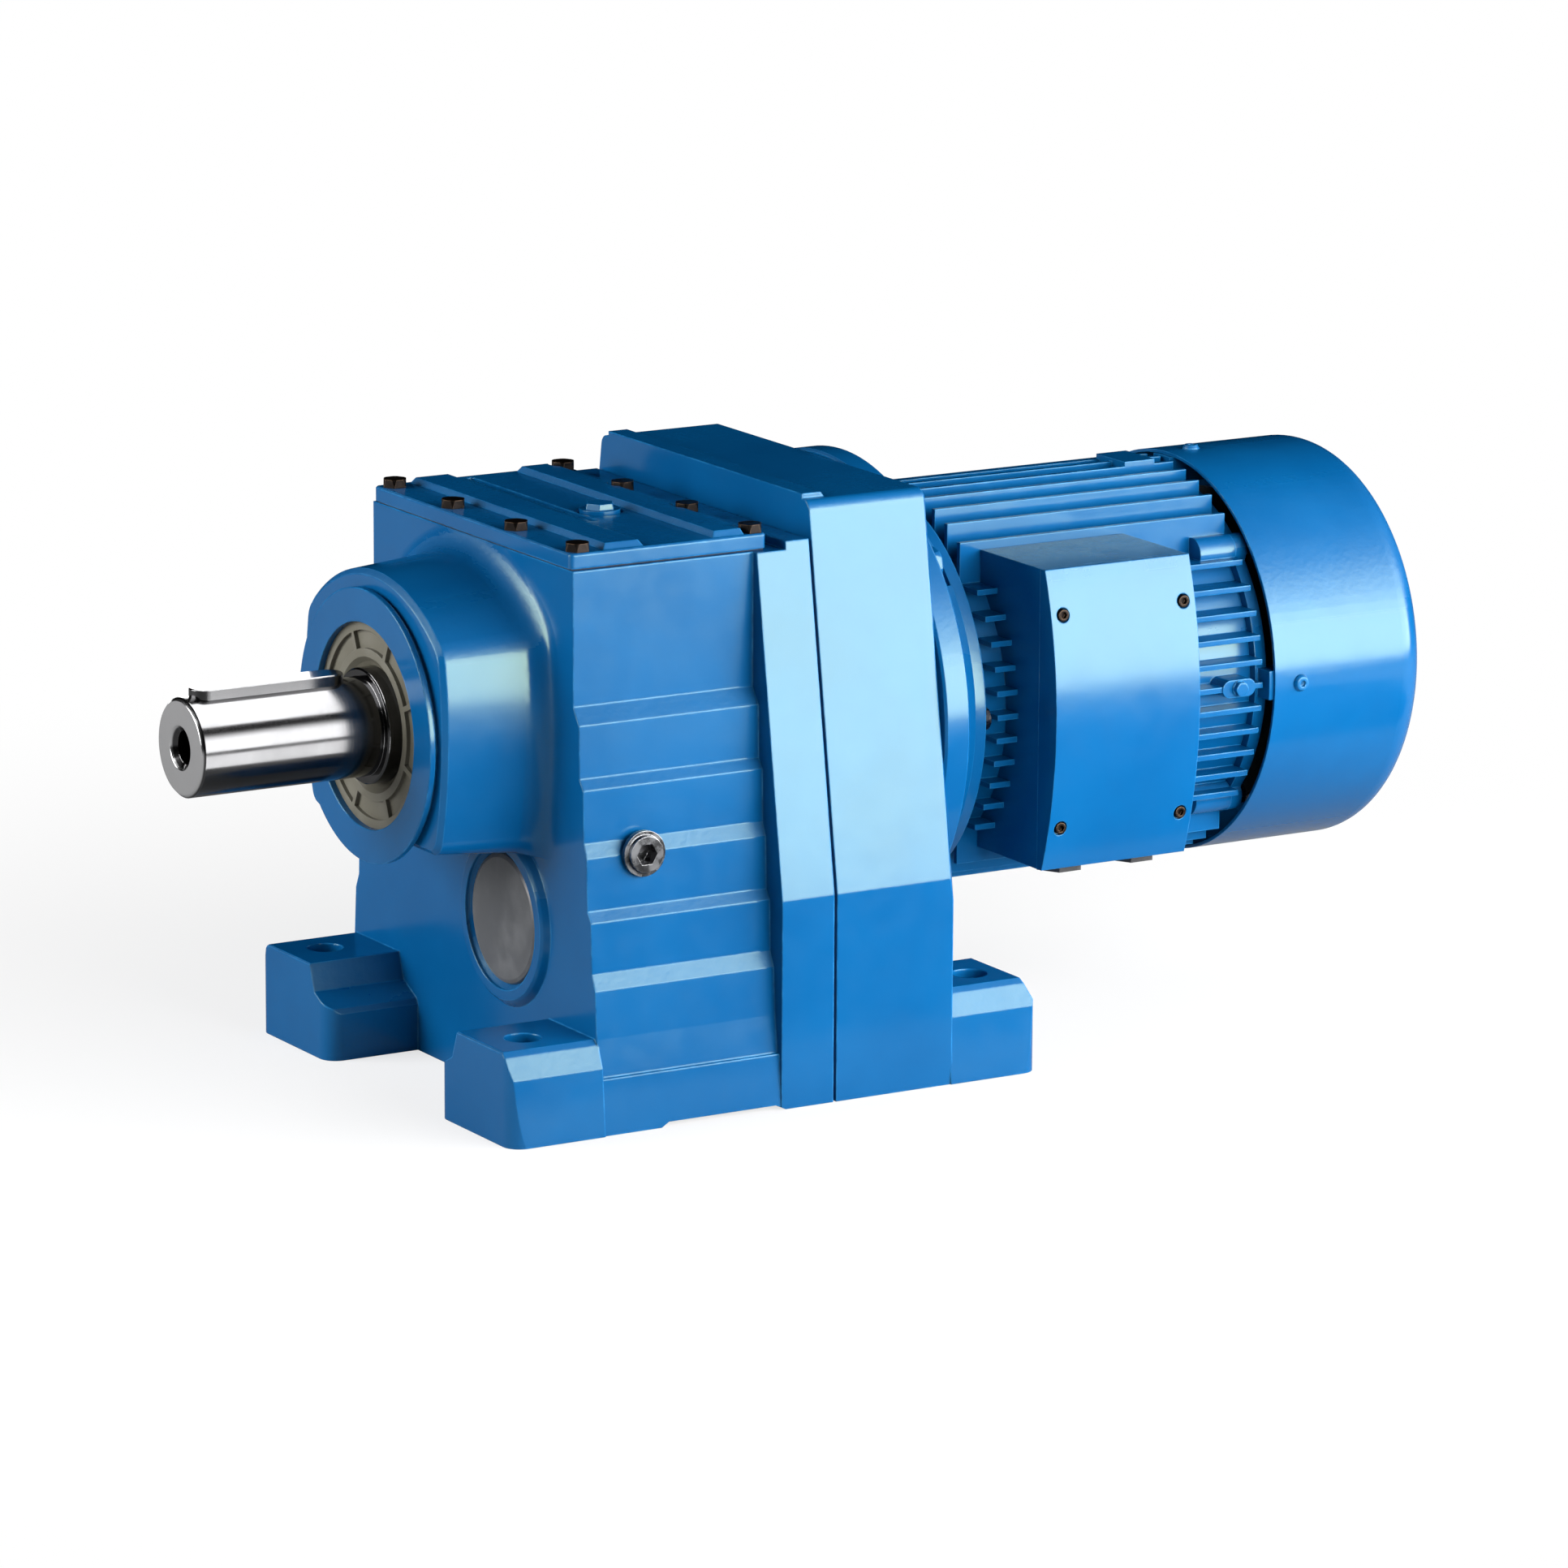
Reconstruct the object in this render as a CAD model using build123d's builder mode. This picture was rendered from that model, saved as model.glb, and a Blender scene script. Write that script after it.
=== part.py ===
from build123d import *
import os
from math import acos, atan, atan2, cos, pi, radians, sin, sqrt, tan

# Foot-mounted inline helical gear unit driven by a flange-mounted, fan-cooled
# electric motor.  Millimetres, +Z up, +X from the output shaft end towards the
# motor fan.  The origin is the centre of the foot bolt pattern on the base plane.

os.makedirs("parts", exist_ok=True)

# ---------------------------------------------------------------- driving sizes
OUTPUT_D = 60.0                      # output shaft diameter
SHAFT_HEIGHT = 3.75 * OUTPUT_D       # output axis above the base
OUTPUT_LENGTH = 2.0 * OUTPUT_D       # free length of the output shaft
FOOT_SPACING_X = 310.0
FOOT_SPACING_Y = 250.0
FOOT_HOLE_R = 11.0

# ---------------------------------------------------------------- stations on X
SHAFT_END_X = -315.0
SHOULDER_X = SHAFT_END_X + OUTPUT_LENGTH
BOSS_X = -187.0                      # front of the output boss
RING_X = -193.0                      # front of the ring turned on the boss
CASE_X = -120.0                      # front wall of the case, outside
WALL_X = 4.0                         # bearing wall, side facing the output gear
FLANGE_X = 2.0                       # joint flange of the front casting
JOINT_X = 38.0                       # machined joint face
JOINT_GASKET = 2.0                   # between the two housings, set back from the edge
COVER_GASKET = 1.0
REAR_X = 121.5                       # rear face, where the motor is mounted
MOTOR_DISC_X = REAR_X + 17.5
FRAME_X = 158.0
FIN_X = 177.0
FRAME_END_X = 370.0
COVER_RIM_X = 375.0
COVER_END_X = 491.0

# ---------------------------------------------------------------- stations on Z
CASE_TOP = 333.0
BLOCK_TOP = 360.0
SIDE_BREAK_Z = 127.5                 # the flange sides lean inwards above this
FLANGE_HALF = 160.0
BLOCK_TOP_HALF = 124.0
FOOT_TOP = 57.0
CAVITY_FLOOR = 14.0
WALL = 12.0

# ---------------------------------------------------------------- shaft centres
STAGE_2_CENTRES = 125.0
STAGE_1_CENTRES = 113.0
SIDE_OFFSET = 43.0                   # the intermediate shaft lies to one side
OUTPUT_AXIS = (0.0, SHAFT_HEIGHT)
MID_AXIS = (-SIDE_OFFSET, SHAFT_HEIGHT - sqrt(STAGE_2_CENTRES**2 - SIDE_OFFSET**2))
MOTOR_AXIS = (0.0, MID_AXIS[1] + sqrt(STAGE_1_CENTRES**2 - SIDE_OFFSET**2))

# ---------------------------------------------------------------- gear data
MODULE_2 = 3.0
PINION_2_TEETH = 15
GEAR_2_TEETH = 65
MODULE_1 = 2.0
PINION_1_TEETH = 25
GEAR_1_TEETH = 85
BACKLASH = 0.40
HELIX_2 = acos(MODULE_2 * (PINION_2_TEETH + GEAR_2_TEETH) / (2 * STAGE_2_CENTRES))
HELIX_1 = acos(MODULE_1 * (PINION_1_TEETH + GEAR_1_TEETH) / (2 * STAGE_1_CENTRES))
GEAR_2_X = -92.0
GEAR_2_WIDTH = 52.0
PINION_2_X = -95.0
PINION_2_WIDTH = 58.0
GEAR_1_X = 44.0
GEAR_1_WIDTH = 34.0
PINION_1_X = 42.0
PINION_1_WIDTH = 38.0

# ---------------------------------------------------------------- bearings
# bore radius, outer radius, width, ball radius, number of balls
FRONT_BEARING = (35.0, 62.5, 24.0, 8.5, 11)
REAR_BEARING = (30.0, 55.0, 22.0, 7.9, 10)
SMALL_BEARING = (20.0, 40.0, 18.0, 6.0, 9)
FRONT_BEARING_X = -173.0
REAR_BEARING_X = 10.0
MID_BEARINGS_X = (-117.0, 10.0)
MOTOR_BEARINGS_X = (130.0, FRAME_END_X)
RUNNING_GAP = 0.05

# ---------------------------------------------------------------- motor
FRAME_BORE_R = 100.0
FRAME_R = 106.0
FLANGE_R = 150.0
SPIGOT_R = 115.0
FLANGE_BOLT_R = 132.5
FIN_PITCH = 14.6
FIN_THICK = 3.4
TOP_FIN_R = 124.0
SIDE_FIN_R = 120.0
COVER_R = 126.5
COVER_WALL = 2.0
CORE_X = 205.0
CORE_LENGTH = 130.0
ROTOR_R = 62.0
AIR_GAP = 0.6
STATOR_SLOTS = 36

# ---------------------------------------------------------------- terminal box
BOX_X = (191.5, 295.0)
BOX_Z = (121.5, 307.0)
BOX_BACK_Y = -75.0
BOX_LID_Y = -143.0
LID_EDGE = 5.0
LID_BOW = 15.0
BOX_WALL = 5.0
LID_SCREW_INSET = (8.5, 27.0)


# ================================================================ shared shapes
def axis_at(centre):
    """Axis along +X through a (y, z) centre."""
    return Axis((0, centre[0], centre[1]), (1, 0, 0))


def cross_plane(x, centre=(0.0, 0.0)):
    """Plane across the X axis: local x is +Y and local y is +Z."""
    return Plane(origin=(x, centre[0], centre[1]), x_dir=(0, 1, 0), z_dir=(1, 0, 0))


def turned(profile, centre):
    """Solid of revolution from (x, radius) points about an axis along X."""
    with BuildPart() as piece:
        with BuildSketch(Plane.XZ.offset(-centre[0])):
            with BuildLine():
                Polyline(*[(x, centre[1] + r) for x, r in profile], close=True)
            make_face()
        revolve(axis=axis_at(centre))
    return piece.part


def ring(x0, x1, r_in, r_out, centre):
    """Plain ring between two X stations."""
    return turned([(x0, r_in), (x1, r_in), (x1, r_out), (x0, r_out)], centre)


def mirrored(right_side):
    """Closed outline from its right-hand (y, z) points, listed from the bottom up."""
    return right_side + [(-y, z) for y, z in reversed(right_side)]


def socket_screw(diameter, length):
    """Cap screw seated at the origin: head above, shank below, hexagon socket."""
    with BuildPart() as screw:
        with BuildSketch(Plane.XY):
            Circle(0.75 * diameter)
        extrude(amount=diameter)
        chamfer(screw.faces().sort_by(Axis.Z)[-1].edges(), 0.08 * diameter)
        with BuildSketch(Plane.XY):
            Circle(0.5 * diameter)
        extrude(amount=-length)
        chamfer(screw.faces().sort_by(Axis.Z)[0].edges(), 0.1 * diameter)
        with BuildSketch(Plane.XY.offset(diameter)):
            RegularPolygon(0.46 * diameter, 6)
        extrude(amount=-0.5 * diameter, mode=Mode.SUBTRACT)
    return screw.part


def hex_screw(diameter, length, washer_r=0.0):
    """Hexagon screw seated at the origin, with an optional washer face."""
    head_r = 0.98 * diameter
    head_h = 0.64 * diameter
    collar = 0.16 * diameter if washer_r else 0.0
    with BuildPart() as screw:
        with BuildSketch(Plane.XY.offset(collar)):
            RegularPolygon(head_r, 6)
        extrude(amount=head_h)
        with BuildSketch(Plane.XY.offset(collar)):
            Circle(head_r)
        extrude(amount=head_h, taper=8, mode=Mode.INTERSECT)
        if washer_r:
            with BuildSketch(Plane.XY):
                Circle(washer_r)
            extrude(amount=collar)
        with BuildSketch(Plane.XY):
            Circle(0.5 * diameter)
        extrude(amount=-length)
        chamfer(screw.faces().sort_by(Axis.Z)[0].edges(), 0.1 * diameter)
    return screw.part


def parallel_key(x0, x1, width, low_z, high_z):
    """Round-ended parallel key lying along X on the plane y = 0."""
    with BuildPart() as key:
        with BuildSketch(Plane.XY.offset(low_z)):
            with Locations(((x0 + x1) / 2, 0)):
                SlotOverall(x1 - x0, width)
        extrude(amount=high_z - low_z)
    return key.part


def circlip(x, thickness, r_in, r_out, gap_angle, centre):
    """Open retaining ring with a gap at the top."""
    with BuildPart() as clip:
        add(ring(x, x + thickness, r_in, r_out, centre))
        with BuildSketch(cross_plane(x, centre)):
            gap = r_out * tan(radians(gap_angle / 2))
            with Locations((0, r_out / 2)):
                Rectangle(2 * gap, 1.2 * r_out)
        extrude(amount=thickness, mode=Mode.SUBTRACT)
    return clip.part


# ================================================================ bearings
def pitch_radius(bearing):
    return (bearing[0] + bearing[1]) / 2


def race_groove(bearing, x, centre):
    """Ring-shaped cutter for the ball groove, a running gap larger than the ball."""
    middle = x + bearing[2] / 2
    with BuildPart(cross_plane(middle, centre)) as groove:
        Torus(pitch_radius(bearing), bearing[3] + RUNNING_GAP)
    return groove.part


def outer_race(bearing, x, centre):
    land = pitch_radius(bearing) + bearing[3] / 2
    with BuildPart() as race:
        add(ring(x, x + bearing[2], land, bearing[1], centre))
        chamfer(race.edges().filter_by(GeomType.CIRCLE).group_by(SortBy.RADIUS)[-1], 1.0)
        add(race_groove(bearing, x, centre), mode=Mode.SUBTRACT)
    return race.part


def inner_race(bearing, x, centre):
    land = pitch_radius(bearing) - bearing[3] / 2
    with BuildPart() as race:
        add(ring(x, x + bearing[2], bearing[0], land, centre))
        chamfer(race.edges().filter_by(GeomType.CIRCLE).group_by(SortBy.RADIUS)[0], 1.0)
        add(race_groove(bearing, x, centre), mode=Mode.SUBTRACT)
    return race.part


def ball_row(bearing, x, centre):
    with BuildPart(cross_plane(x + bearing[2] / 2, centre)) as balls:
        with PolarLocations(pitch_radius(bearing), bearing[4]):
            Sphere(bearing[3])
    return balls.part


def ball_cage(bearing, x, centre):
    """Cage ring whose round pockets hold the balls apart."""
    pitch = pitch_radius(bearing)
    half_width = 1.25 * bearing[3]
    half_thick = 0.22 * bearing[3]
    middle = x + bearing[2] / 2
    with BuildPart() as cage:
        add(ring(middle - half_width, middle + half_width, pitch - half_thick, pitch + half_thick, centre))
        with Locations(cross_plane(middle, centre)):
            with PolarLocations(pitch, bearing[4]):
                Cylinder(1.04 * bearing[3], 4 * half_thick, rotation=(0, 90, 0), mode=Mode.SUBTRACT)
    return cage.part


# ================================================================ gears
def involute(angle):
    return tan(angle) - angle


def gear_outline(teeth, module, helix, turn):
    """Points of the transverse tooth outline: involute flanks between tip and root."""
    pitch_r = module * teeth / (2 * cos(helix))
    tip_r = pitch_r + module
    root_r = pitch_r - 1.25 * module
    pressure = atan(tan(radians(20)) / cos(helix))
    base_r = pitch_r * cos(pressure)
    start_r = max(base_r, root_r)
    half_pitch = pi / (2 * teeth) - BACKLASH / (4 * pitch_r)

    def half_tooth(radius):
        return half_pitch + involute(pressure) - involute(acos(min(1.0, base_r / radius)))

    flank = [(r, half_tooth(r)) for r in (start_r, (start_r + tip_r) / 2, tip_r)]
    if start_r > root_r:
        flank.insert(0, (root_r, half_tooth(start_r)))
    outline = []
    for tooth in range(teeth):
        centre = turn + 2 * pi * tooth / teeth
        outline += [(r * cos(centre - a), r * sin(centre - a)) for r, a in flank]
        outline += [(r * cos(centre + a), r * sin(centre + a)) for r, a in reversed(flank)]
    return outline


def helical_gear(teeth, module, helix, hand, x0, width, x_mesh, centre, tooth_angle, slices):
    """Helical tooth ring; a tooth lies at tooth_angle in the plane x = x_mesh."""
    pitch_r = module * teeth / (2 * cos(helix))
    with BuildPart() as gear:
        for step in range(slices + 1):
            x = x0 + width * step / slices
            turn = tooth_angle + hand * (x - x_mesh) * tan(helix) / pitch_r
            with BuildSketch(cross_plane(x, centre)):
                with BuildLine():
                    Polyline(*gear_outline(teeth, module, helix, turn), close=True)
                make_face()
        loft(ruled=True)
    return gear.part


def direction(start, end):
    """Angle of the line between two shaft centres, in the Y-Z plane."""
    return atan2(end[1] - start[1], end[0] - start[0])


# ================================================================ housings
# Right-hand outline of the cast case: flat bands joined by sloping ledges.
CASE_SIDE = [
    (158, 0), (156, 22), (152, 57), (150, 86), (146, 95), (145, 126),
    (141, 132), (140, 164), (136.5, 172), (136, 204), (131.5, 210), (131, 242),
    (124, 252), (124, CASE_TOP),
]


def flange_half_width(z):
    """Half width of the joint flange at a height above the side break."""
    lean = (FLANGE_HALF - BLOCK_TOP_HALF) / (BLOCK_TOP - SIDE_BREAK_Z)
    return FLANGE_HALF - lean * (z - SIDE_BREAK_Z)


def flange_side(top):
    """Right-hand outline of the joint flange up to a given height."""
    return [(FLANGE_HALF, 0), (FLANGE_HALF, SIDE_BREAK_Z), (flange_half_width(top), top)]


def foot(inner_x, tip_profile):
    """Near-side foot: rounded plan, cross-section with an eased outer edge."""
    tip_x = tip_profile[0][0]
    section = [
        (-70, 0), (-161, 0), (-157.5, 41), (-152, 54), (-149, FOOT_TOP),
        (-94, FOOT_TOP), (-88, 40.5), (-72, 32.4), (-70, 29),
    ]
    with BuildPart() as block:
        with BuildSketch(Plane.XY) as plan:
            with Locations(((inner_x + tip_x) / 2, -115.5)):
                Rectangle(abs(tip_x - inner_x), 91)
            outer_end = plan.vertices().group_by(Axis.X)[-1 if tip_x > 0 else 0]
            fillet(outer_end, 11)
        extrude(amount=FOOT_TOP)
        with BuildSketch(cross_plane(min(inner_x, tip_x))):
            with BuildLine():
                Polyline(*section, close=True)
            make_face()
        extrude(amount=abs(tip_x - inner_x), mode=Mode.INTERSECT)
        with BuildSketch(Plane.XZ.offset(60)):
            with BuildLine():
                Polyline((inner_x, 0), *tip_profile, (inner_x, FOOT_TOP), close=True)
            make_face()
        extrude(amount=110, mode=Mode.INTERSECT)
    return block.part


def gear_cavity(x0, x1):
    """Space for the first gear pair behind the bearing wall."""
    clear_r = 93.0
    with BuildPart() as cavity:
        with BuildSketch(cross_plane(x0)):
            with Locations(MID_AXIS, (-MID_AXIS[0], MID_AXIS[1])):
                Circle(clear_r)
            with Locations(MOTOR_AXIS):
                Circle(SPIGOT_R - 5)
            with Locations((0, MID_AXIS[1] - clear_r / 2)):
                Rectangle(2 * SIDE_OFFSET, clear_r)
        extrude(amount=x1 - x0)
    return cavity.part


JOINT_SCREWS = [
    (side * y, z) for side in (-1, 1) for y, z in ((144, 62), (143, 150), (112, 322))
]
COVER_SCREW_D = 8.0
COVER_SCREW_X = (-111.0, 6.0)
COVER_SCREW_Y = (-113.0, -39.0, 39.0, 113.0)
COVER_SCREWS = [(x, y) for x in COVER_SCREW_X for y in COVER_SCREW_Y]
LEVEL_PLUG = (-83.0, -141.0, 163.8)
DRAIN_PLUG = (-83.0, 151.0, 68.0)
SPOT_FACE_R = 16.0
PLUG_R = 9.0
CAP_R = 40.0
BOSS_CORNER_R = 20.0
BOSS_ROOT_R = 16.0
FRONT_RING_R = 83.0

with BuildPart() as front_housing:
    # cast case
    with BuildSketch(cross_plane(CASE_X)):
        with BuildLine():
            Polyline(*mirrored(CASE_SIDE), close=True)
        make_face()
    extrude(amount=FLANGE_X - CASE_X)
    # joint flange with a stepped top
    with BuildSketch(cross_plane(FLANGE_X)):
        with BuildLine():
            Polyline(*mirrored(flange_side(CASE_TOP)), close=True)
        make_face()
    extrude(amount=20)
    with BuildSketch(cross_plane(FLANGE_X + 20)):
        with BuildLine():
            Polyline(*mirrored(flange_side(CASE_TOP + 5)), close=True)
        make_face()
    extrude(amount=JOINT_X - FLANGE_X - 20)
    # flare of the casting into the flange and the base
    with BuildSketch(Plane.XY.offset(0)):
        with Locations(((CASE_X + FLANGE_X + 22) / 2, 0)):
            Rectangle(FLANGE_X + 22 - CASE_X, 2 * FLANGE_HALF - 1)
    with BuildSketch(Plane.XY.offset(34)):
        with Locations(((CASE_X + FLANGE_X + 22) / 2, 0)):
            Rectangle(FLANGE_X + 22 - CASE_X, 2 * FLANGE_HALF - 6)
    loft()
    # feet
    foot_tip = [(-182, 0), (-182, FOOT_TOP - 1), (-181, FOOT_TOP)]
    add(foot(CASE_X + 1, foot_tip))
    add(mirror(foot(CASE_X + 1, foot_tip), about=Plane.XZ, mode=Mode.PRIVATE))
    # output boss: arched top, bulged sides, flat bottom, drafted towards the case
    with BuildSketch(cross_plane(BOSS_X)) as boss_end:
        with BuildLine():
            ThreePointArc((-84, 283), (0, 318), (84, 283))
            ThreePointArc((84, 283), (88.5, 245), (81, 169))
            ThreePointArc((81, 169), (77.5, 163), (71, 160))
            Line((71, 160), (-71, 160))
            ThreePointArc((-71, 160), (-77.5, 163), (-81, 169))
            ThreePointArc((-81, 169), (-88.5, 245), (-84, 283))
        make_face()
        fillet(boss_end.vertices().group_by(Axis.Y)[-1], BOSS_CORNER_R)
    extrude(amount=CASE_X - BOSS_X, taper=-5)
    # large casting radius where the boss grows out of the front wall
    root = front_housing.edges().filter_by_position(Axis.X, CASE_X - 0.01, CASE_X + 0.01)
    fillet(root.filter_by(lambda edge: 156 < edge.center().Z < 328 and abs(edge.center().Y) < 105),
           BOSS_ROOT_R)
    chamfer(front_housing.faces().filter_by_position(Axis.X, BOSS_X - 0.01, BOSS_X + 0.01).edges(), 3)
    add(turned([(RING_X, 0), (RING_X + 3.5, 0), (RING_X + 3.5, FRONT_RING_R), (RING_X, FRONT_RING_R)],
               OUTPUT_AXIS))
    add(ring(RING_X + 3, BOSS_X, 0.01, FRONT_RING_R - 3, OUTPUT_AXIS))
    # raised boss around the closing cap
    add(turned([(CASE_X, 0), (CASE_X - 5, 0), (CASE_X - 5, 49), (CASE_X - 3.5, 51), (CASE_X, 54)],
               MID_AXIS))
    # inner bearing boss of the intermediate shaft is left when the cavity is cut
    with BuildPart(mode=Mode.PRIVATE) as cavity:
        inside = [(y - WALL, z) for y, z in CASE_SIDE if CAVITY_FLOOR < z < CASE_TOP]
        with BuildSketch(cross_plane(CASE_X + WALL)):
            with BuildLine():
                Polyline(*mirrored([(144, CAVITY_FLOOR)] + inside + [(112, 319)]), close=True)
            make_face()
        extrude(amount=WALL_X - CASE_X - WALL)
        add(ring(CASE_X + WALL, -96, 0, 52, MID_AXIS), mode=Mode.SUBTRACT)
    add(cavity.part, mode=Mode.SUBTRACT)
    # opening below the inspection cover
    with BuildSketch(Plane.XY.offset(318)):
        with Locations((-50.5, 0)):
            RectangleRounded(101, 212, 14)
    extrude(amount=20, mode=Mode.SUBTRACT)
    # output bearing bore, seal recess and circlip groove
    add(turned([(-200, 0), (-200, 62.5), (-177, 62.5), (-177, 65.2), (-173, 65.2),
                (-173, 62.5), (-149, 62.5), (-149, 54), (-107, 54), (-107, 0)], OUTPUT_AXIS),
        mode=Mode.SUBTRACT)
    # intermediate bearing bore behind the closing cap
    add(turned([(-130, 0), (-130, CAP_R + 3), (CASE_X - 3, CAP_R + 3), (CASE_X, CAP_R), (-99, CAP_R),
                (-99, 34), (-95, 34), (-95, 0)], MID_AXIS), mode=Mode.SUBTRACT)
    # bearing wall: bores open towards the joint face
    add(turned([(3, 0), (3, 48), (REAR_BEARING_X, 48), (REAR_BEARING_X, 55), (39, 55), (39, 0)],
               OUTPUT_AXIS), mode=Mode.SUBTRACT)
    add(turned([(3, 0), (3, 34), (MID_BEARINGS_X[1], 34), (MID_BEARINGS_X[1], 40), (39, 40), (39, 0)],
               MID_AXIS), mode=Mode.SUBTRACT)
    with BuildPart(mode=Mode.PRIVATE) as lightening:
        add(gear_cavity(26, JOINT_X))
        add(ring(26, JOINT_X, 0, 66, OUTPUT_AXIS), mode=Mode.SUBTRACT)
        add(ring(26, JOINT_X, 0, 52, MID_AXIS), mode=Mode.SUBTRACT)
    add(lightening.part, mode=Mode.SUBTRACT)
    # tapped holes for the joint screws
    with BuildSketch(cross_plane(JOINT_X)):
        with Locations(*JOINT_SCREWS):
            Circle(5)
    extrude(amount=-26, mode=Mode.SUBTRACT)
    # tapped holes for the cover screws
    with BuildSketch(Plane.XY.offset(CASE_TOP)):
        with Locations(*COVER_SCREWS):
            Circle(COVER_SCREW_D / 2)
    extrude(amount=-19, mode=Mode.SUBTRACT)
    # foot holes with spot faces
    with BuildSketch(Plane.XY):
        with GridLocations(0, FOOT_SPACING_Y, 1, 2):
            with Locations((-FOOT_SPACING_X / 2, 0)):
                Circle(FOOT_HOLE_R)
    extrude(amount=FOOT_TOP, mode=Mode.SUBTRACT)
    # relief under the middle of the base
    with BuildSketch(Plane.XZ.offset(170)):
        with BuildLine():
            Polyline((-80, 0), (-75, 3), (-1.5, 3), (5, 0), close=True)
        make_face()
    extrude(amount=-340, mode=Mode.SUBTRACT)
    # oil level and drain holes through the side walls, each with a spot face
    for plug_x, plug_y, plug_z in (LEVEL_PLUG, DRAIN_PLUG):
        outward = 1 if plug_y > 0 else -1
        with BuildSketch(Plane.XZ.offset(-plug_y)):
            with Locations((plug_x, plug_z)):
                Circle(SPOT_FACE_R)
        extrude(amount=-outward * 5, mode=Mode.SUBTRACT)
        with BuildSketch(Plane.XZ.offset(-plug_y)):
            with Locations((plug_x, plug_z)):
                Circle(PLUG_R)
        extrude(amount=outward * 20, mode=Mode.SUBTRACT)
front_housing.part.label = "front_housing"
export_step(front_housing.part, "parts/front_housing.step")

with BuildPart() as rear_housing:
    # block with leaning sides and slightly crowned top
    block_x = JOINT_X + JOINT_GASKET
    with BuildSketch(cross_plane(block_x)) as block_end:
        with BuildLine():
            Polyline(*mirrored(flange_side(BLOCK_TOP)), close=True)
        make_face()
        fillet(block_end.vertices().group_by(Axis.Y)[-1], 7)
    extrude(amount=REAR_X - block_x)
    chamfer(rear_housing.faces().sort_by(Axis.X)[-1].edges().sort_by(Axis.Z)[-1], 2)
    # rib along the top of the joint
    with BuildSketch(Plane.XZ.offset(BLOCK_TOP_HALF - 8)):
        with BuildLine():
            Polyline((block_x, BLOCK_TOP - 2), (block_x, BLOCK_TOP + 3), (53, BLOCK_TOP + 3),
                     (57, BLOCK_TOP - 2), close=True)
        make_face()
    extrude(amount=-2 * (BLOCK_TOP_HALF - 8))
    # feet
    rear_tip = [(183.3, 0), (184.5, 37.5), (176, FOOT_TOP)]
    add(foot(REAR_X - 1, rear_tip))
    add(mirror(foot(REAR_X - 1, rear_tip), about=Plane.XZ, mode=Mode.PRIVATE))
    # gear cavity and motor spigot bore
    add(gear_cavity(block_x, REAR_X - 12.5), mode=Mode.SUBTRACT)
    add(ring(REAR_X - 20, REAR_X, 0, SPIGOT_R, MOTOR_AXIS), mode=Mode.SUBTRACT)
    # joint screw holes, counterbored from the rear
    with BuildSketch(cross_plane(REAR_X)):
        with Locations(*JOINT_SCREWS):
            Circle(5.5)
    extrude(amount=block_x - REAR_X, mode=Mode.SUBTRACT)
    with BuildSketch(cross_plane(REAR_X)):
        with Locations(*JOINT_SCREWS):
            Circle(9)
    extrude(amount=-12, mode=Mode.SUBTRACT)
    # tapped holes for the motor flange screws
    with BuildSketch(cross_plane(REAR_X, MOTOR_AXIS)):
        with PolarLocations(FLANGE_BOLT_R, 4, start_angle=45):
            Circle(6)
    extrude(amount=-11.5, mode=Mode.SUBTRACT)
    # foot holes
    with BuildSketch(Plane.XY):
        with GridLocations(0, FOOT_SPACING_Y, 1, 2):
            with Locations((FOOT_SPACING_X / 2, 0)):
                Circle(FOOT_HOLE_R)
    extrude(amount=FOOT_TOP, mode=Mode.SUBTRACT)
rear_housing.part.label = "rear_housing"
export_step(rear_housing.part, "parts/rear_housing.step")

# ================================================================ gear unit pieces
with BuildPart() as housing_gasket:
    with BuildSketch(cross_plane(JOINT_X)):
        with BuildLine():
            Polyline(*mirrored([(156, 4), (156, SIDE_BREAK_Z), (flange_half_width(334) - 4, 334)]),
                     close=True)
        make_face()
    extrude(amount=JOINT_GASKET)
    add(gear_cavity(JOINT_X, JOINT_X + JOINT_GASKET), mode=Mode.SUBTRACT)
    with BuildSketch(cross_plane(JOINT_X)):
        with Locations(*JOINT_SCREWS):
            Circle(5.5)
    extrude(amount=JOINT_GASKET, mode=Mode.SUBTRACT)
housing_gasket.part.label = "housing_gasket"
export_step(housing_gasket.part, "parts/housing_gasket.step")

with BuildPart(cross_plane(REAR_X - 12)) as housing_screws:
    with Locations(*JOINT_SCREWS):
        add(socket_screw(10, 92))
housing_screws.part.label = "housing_screws"
export_step(housing_screws.part, "parts/housing_screws.step")

COVER_X = (-120.5, 12.3)
COVER_HALF_Y = 122.0
COVER_BASE = CASE_TOP + COVER_GASKET
COVER_PLATE = 9.0
COVER_BANDS = ((-97, -70), (-23, 2))
BREATHER = (-41.0, -16.0)

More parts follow.
